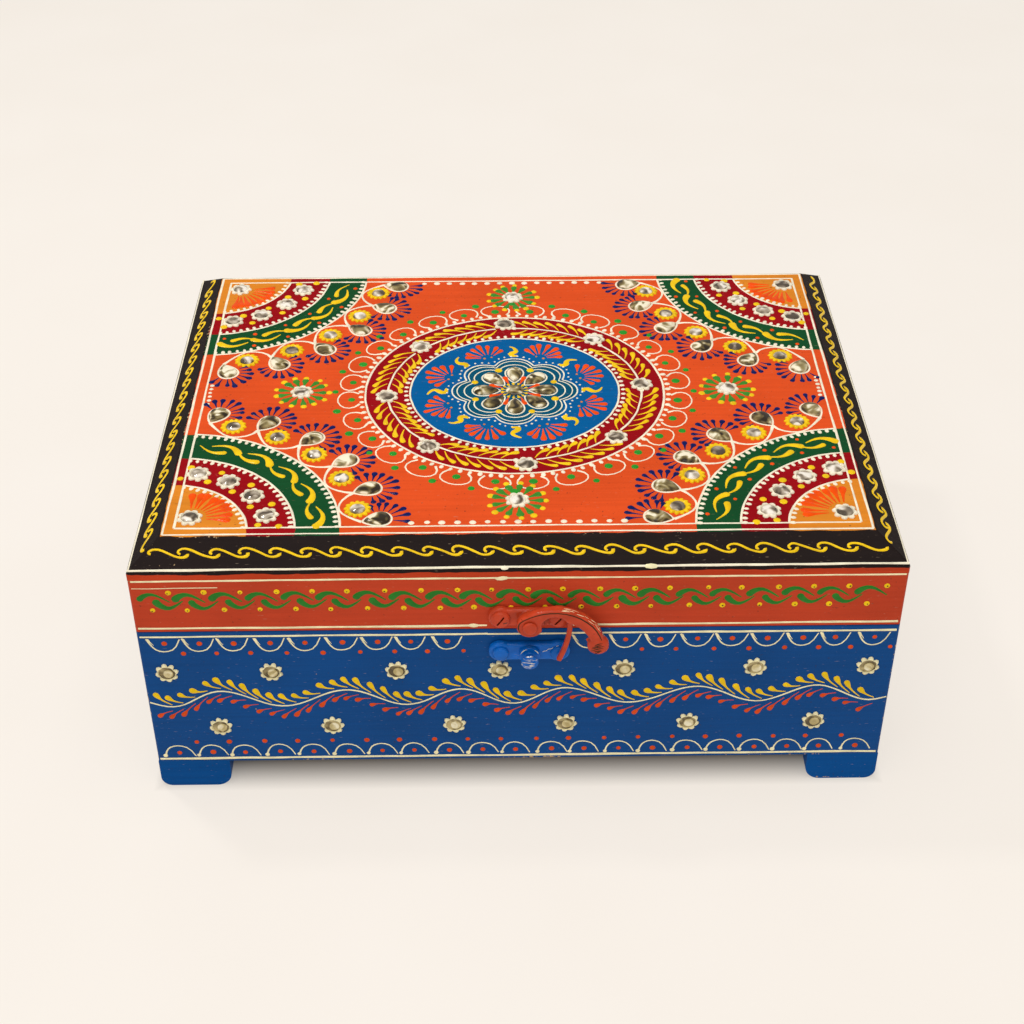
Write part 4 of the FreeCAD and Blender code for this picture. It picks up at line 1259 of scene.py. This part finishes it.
class CHEST_OT_dress_fittings(bpy.types.Operator):
    """Round the latch castings under their paint, and slot the screws"""

    bl_idname = "chest.dress_fittings"
    bl_label = "Dress the fittings"

    def execute(self, context):
        red = known("red_fitting_enamel")
        blue = known("blue_fitting_enamel")
        front_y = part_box("catch_stud")[0].y / MM
        # The stud takes the same brightened blue, painted light
        rubbed = painted_casting("worn_stud_enamel", linear(LIT_FITTING_BLUE), "#D9D4C6", 0.96, front_y + 0.5)
        castings = (
            ("latch_hook", "hook", red, "red_metal", 0.24),
            ("latch_plate", "lid", red, "red_metal", 0.3),
            ("latch_rivet", "lid", red, "red_metal", 0.24),
            ("catch_plate", "case", blue, "blue_metal", 0.3),
            ("catch_stud", "case", rubbed, "blue_metal", 0.24),
        )
        for node, body, material, slot, grain in castings:
            piece = new_piece(node, frame["nodes"][node].data.copy())
            merged(piece)
            modified(piece, "REMESH", mode="VOXEL", voxel_size=grain * MM)
            modified(piece, "SMOOTH", factor=0.5, iterations=7)
            finished(piece, node + "_painted", material, body, (node,), angle=180)
        # A dark umber line along the hook's upper edge, dirt on its knob, and pale flecks along its top,
        # partly rubbed paint and partly painted highlights
        worn = Drawing("hook_edge", "hook", 96)
        edge = [polar(3.9, deg) for deg in (215, 190, 165, 140)]
        for turn in (117, 100, 80, 60, 40, 23, 11):
            x, z = polar(16.3, turn)
            edge.append((HOOK_MIDDLE[0] + x, HOOK_MIDDLE[1] + z))
        worn.line("umber", "hook", edge, [0.2, 0.4, 0.45, 0.4, 0.35, 0.5, 0.45, 0.5, 0.55, 0.45, 0.2])
        for i in range(6):
            z = -10.6 + 0.7 * i
            half = math.sqrt(2.3**2 - (z - KNOB_MIDDLE[1]) ** 2)
            ends = (-0.95 + worn.slip(0.2), -0.3, 0.3, 0.75 + worn.slip(0.25))
            points = [(KNOB_MIDDLE[0] + s * half, z + 0.5 * s + worn.slip(0.2)) for s in ends]
            worn.line("umber", "knob", points, [0.15, 0.55, 0.4, 0.12])
        # Pale flecks along the hook's top, partly rubbed paint and partly painted highlights
        for deg in HOOK_TOPS:
            for i in range(3):
                start, depth = worn.slip(1.8), -1.2 + 0.7 * i + worn.slip(0.2)
                points = [(start + along, depth + worn.slip(0.06)) for along in (-1.3, -0.4, 0.5, 1.4)]
                worn.line("straw", f"hook_top_{deg}", points, [0.1, 0.3, 0.24, 0.1])
        worn.lay(context)
        # Painted shade in the hook's arch as umber strokes on the plate, and pale marks beside the stud and
        # round its collar, partly scratches and partly painted highlights
        arch_shade = Drawing("latch_arch_shade", "lid", 98)
        for i in range(12):
            x = 4.9 + 0.58 * i
            high = math.sqrt(4.4**2 - (x - 8.2) ** 2)
            points = [(x + arch_shade.slip(0.1), z) for z in (-2.8, 0.4 * high, 0.9 * high)]
            arch_shade.line("umber", "plate", points, [0.12, 0.34, 0.16])
        arch_shade.lay(context)
        # Pale straw strokes on the catch plate, partly scratches and partly painted highlights
        scratch_and_glint_marks = Drawing("catch_scratch_and_glint_marks", "case", 99)
        for i in range(7):
            x, z = 4.4 + 0.75 * i, 0.4 + 0.36 * i + scratch_and_glint_marks.slip(0.3)
            points = [(x, z), (x + 0.5, z + 0.25), (x + 0.9 + scratch_and_glint_marks.slip(0.2), z + 0.35)]
            scratch_and_glint_marks.line("straw", "catch", points, [0.1, 0.26, 0.1])
        # Round the stud's collar, partly worn paint and partly painted highlights
        for start, end in ((105, 160), (20, 60)):
            points = [polar(3.15, start + (end - start) * i / 4) for i in range(5)]
            scratch_and_glint_marks.line("straw", "collar", points, [0.08, 0.26, 0.3, 0.2, 0.08])
        scratch_and_glint_marks.lay(context)
        # Round screw heads, all but those of the catch plate with what shows of a sawn slot
        profile = ((1, -0.05), (1, 0.2), (0.86, 0.36), (0.5, 0.44), (0.15, 0.46))
        dome = turned(profile, 24, "cap")
        head = turned(profile, 24, "cap")
        bpy.ops.object.select_all(action="DESELECT")
        bpy.ops.mesh.primitive_cube_add(size=1, location=(0, 0, 0.42))
        saw = bpy.context.object
        saw.scale = (0.18, 1.25, 0.34)
        bpy.ops.object.transform_apply(location=True, rotation=True, scale=True)
        modified(head, "BOOLEAN", operation="DIFFERENCE", object=saw)
        discard(saw)
        leaf_out = 1.1
        front = surface(-BACK * (HALF_Y + PLATE_OUT), RIGHT, UP)
        rear = surface(BACK * (HALF_Y + leaf_out), -RIGHT, UP)
        latch_u = [LATCH_X - PLATE_SCREW, LATCH_X + PLATE_SCREW]
        hinge_u = [x + way * 9.0 for x in HINGES_X for way in (-1, 1)]
        sets = (
            ("latch_plate_screws", front, latch_u, PIVOT_Z, 3.3, head, "lid"),
            ("catch_plate_screws", front, latch_u, STUD_Z, 2.7, dome, "case"),
            ("hinge_lid_screws", rear, hinge_u, 80.83, 2.2, head, "lid"),
            ("hinge_body_screws", rear, hinge_u, 63.47, 2.2, head, "case"),
        )
        hand = random.Random(95)
        for node, face, across, v, radius, shape, body in sets:
            material, slot = (red, "red_metal") if body == "lid" else (blue, "blue_metal")
            places = []
            for u in across:
                turn = Matrix.Rotation(hand.uniform(-0.9, -0.5), 4, "Z")
                places.append(face @ Matrix.Translation((u, v, 0)) @ turn @ Matrix.Scale(radius, 4))
            finished(repeated(shape, places), node + "_round", material, body, (node,), angle=35)
        discard(head, dome)
        return {"FINISHED"}


class CHEST_OT_lay_felt(bpy.types.Operator):
    """Lay the felt lining on the floor of the case"""

    bl_idname = "chest.lay_felt"
    bl_label = "Lay the felt"

    def execute(self, context):
        low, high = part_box("floor_felt")
        thick = context.scene.chest_sizes.felt_thickness
        bpy.ops.object.select_all(action="DESELECT")
        bpy.ops.mesh.primitive_grid_add(x_subdivisions=70, y_subdivisions=50, size=1)
        piece = bpy.context.object
        # Soft bumps where it doesn't quite lie flat, as shares of the floor, up to 0.3 mm high
        hand = random.Random(97)
        bumps = []
        for i in range(26):
            bumps.append((hand.uniform(-0.5, 0.5), hand.uniform(-0.5, 0.5), hand.uniform(0.05, 0.14)))
        for v in piece.data.vertices:
            rise = 0.0
            for x, y, reach in bumps:
                away = (v.co.x - x) ** 2 + (v.co.y - y) ** 2
                rise += 0.22 * MM * math.exp(-away / reach**2)
            x = low.x + (v.co.x + 0.5) * (high.x - low.x)
            y = low.y + (v.co.y + 0.5) * (high.y - low.y)
            v.co = (x, y, low.z + 0.05 * MM + min(rise, 0.3 * MM))
        modified(piece, "SOLIDIFY", thickness=thick, offset=1)
        material = wool_felt("pressed_wool_felt", context.scene.chest_paints.felt)
        finished(piece, "floor_felt_lining", material, "case", ("floor_felt",))
        return {"FINISHED"}


class CHEST_OT_set_stage(bpy.types.Operator):
    """Set the pale floor, the soft lights and the camera"""

    bl_idname = "chest.set_stage"
    bl_label = "Set the stage"

    def execute(self, context):
        scene = context.scene
        bpy.ops.object.select_all(action="DESELECT")
        bpy.ops.mesh.primitive_plane_add(size=30)
        floor = context.object
        floor.name = "floor"
        made, tree, shader = new_material("cream_paper")
        place = add(tree, "TexCoord")["Object"]
        # Faint mottling of seamless paper, 80 mm across
        mottle = add(tree, "TexNoise", {"Vector": place, "Scale": 1 / 0.08, "Detail": 2.0})["Fac"]
        tones = {0: mottle, 6: linear("#F9F2E9"), 7: linear("#F6EEE4")}
        colour = add(tree, "Mix", tones, data_type="RGBA")[2]
        tones = {0: mottle, 6: linear("#827E7A"), 7: linear("#807C77")}
        shade = add(tree, "Mix", tones, data_type="RGBA")[2]
        # The paper glows by itself, painted light that thins the shadows, and the glow fades out under the
        # chest as a painted shadow there
        flat = add(tree, "VectorMath", {0: place}, operation="ABSOLUTE")[0]
        over = add(tree, "VectorMath", {0: flat, 1: (HALF_X * MM, HALF_Y * MM, 0)}, operation="SUBTRACT")[0]
        out = add(tree, "SeparateXYZ", {0: over})
        far = add(tree, "Math", {0: out[0], 1: out[1]}, operation="MAXIMUM")[0]
        # Painted shadow: the glow falls to nothing 13 mm inside the chest's footprint and is full 3 mm
        # outside it
        glow_and_painted_shadow = add(tree, "MapRange", {0: far, 1: -0.013, 2: 0.003, 3: 0.0, 4: 0.765})[0]
        fill(tree, shader, {"Base Color": shade, "Roughness": 0.9, "Specular IOR Level": 0.1})
        fill(tree, shader, {"Emission Color": colour, "Emission Strength": glow_and_painted_shadow})
        floor.data.materials.append(made)
        world = bpy.data.worlds.new("studio")
        scene.world = world
        world.use_nodes = True
        sky = world.node_tree.nodes["Background"]
        fill(world.node_tree, sky, {"Color": (1.0, 0.985, 0.965), "Strength": 0.42})
        lamps = (
            ("overhead_softbox", (0.0, -0.35, 1.5), (math.radians(13), 0, 0), 1.2, 12.4),
            ("front_softbox", (-0.5, -1.6, 0.9), (math.radians(62), 0, math.radians(-17)), 1.2, 5.0),
            ("key_lamp", (-0.45, 0.25, 1.0), (math.radians(-14), math.radians(-24), 0), 0.1, 2.6),
        )
        for name, location, rotation, size, power in lamps:
            lamp = bpy.data.lights.new(name, "AREA")
            lamp.size = size
            lamp.energy = power
            lamp.color = (1.0, 0.985, 0.96)
            lit = new_piece(name, lamp)
            lit.location = location
            lit.rotation_euler = rotation
        camera = bpy.data.cameras.new("camera")
        camera.sensor_width = 36
        camera.lens = scene.chest_sizes.lens
        camera.clip_start = 0.01
        taken = new_piece("camera", camera)
        taken.location = (-0.00674, -0.52885, 0.44885)
        taken.rotation_euler = [math.radians(value) for value in (52.894, 0.153, -0.721)]
        scene.camera = taken
        scene.view_settings.view_transform = "Standard"
        return {"FINISHED"}


STEPS = (
    CHEST_OT_paint_frame,
    CHEST_OT_rule_lines,
    CHEST_OT_draw_mandala,
    CHEST_OT_draw_daisies,
    CHEST_OT_draw_corners,
    CHEST_OT_draw_garlands,
    CHEST_OT_draw_scrolls,
    CHEST_OT_draw_vine,
    CHEST_OT_draw_walls,
    CHEST_OT_set_stones,
    CHEST_OT_dress_fittings,
    CHEST_OT_lay_felt,
    CHEST_OT_set_stage,
)


class CHEST_PT_panel(bpy.types.Panel):
    """Sizes, colours and steps of the chest"""

    bl_idname = "CHEST_PT_panel"
    bl_label = "Keepsake chest"
    bl_space_type = "VIEW_3D"
    bl_region_type = "UI"
    bl_category = "Chest"

    def draw(self, context):
        for settings in (context.scene.chest_sizes, context.scene.chest_paints):
            for name in settings.__annotations__:
                self.layout.prop(settings, name)
        for step in STEPS:
            self.layout.operator(step.bl_idname)


CLASSES = (ChestPaints, ChestSizes, *STEPS, CHEST_PT_panel)


def register():
    """Adds the chest's settings, steps and panel."""
    for made in CLASSES:
        bpy.utils.register_class(made)
    bpy.types.Scene.chest_paints = PointerProperty(type=ChestPaints)
    bpy.types.Scene.chest_sizes = PointerProperty(type=ChestSizes)


def unregister():
    """Takes the settings, steps and panel away again."""
    del bpy.types.Scene.chest_paints
    del bpy.types.Scene.chest_sizes
    for made in reversed(CLASSES):
        bpy.utils.unregister_class(made)


def main():
    """Builds the looks step by step."""
    register()
    bpy.ops.chest.paint_frame()
    bpy.ops.chest.rule_lines()
    bpy.ops.chest.draw_mandala()
    bpy.ops.chest.draw_daisies()
    bpy.ops.chest.draw_corners()
    bpy.ops.chest.draw_garlands()
    bpy.ops.chest.draw_scrolls()
    bpy.ops.chest.draw_vine()
    bpy.ops.chest.draw_walls()
    bpy.ops.chest.set_stones()
    bpy.ops.chest.dress_fittings()
    bpy.ops.chest.lay_felt()
    bpy.ops.chest.set_stage()


if __name__ == "__main__":
    main()
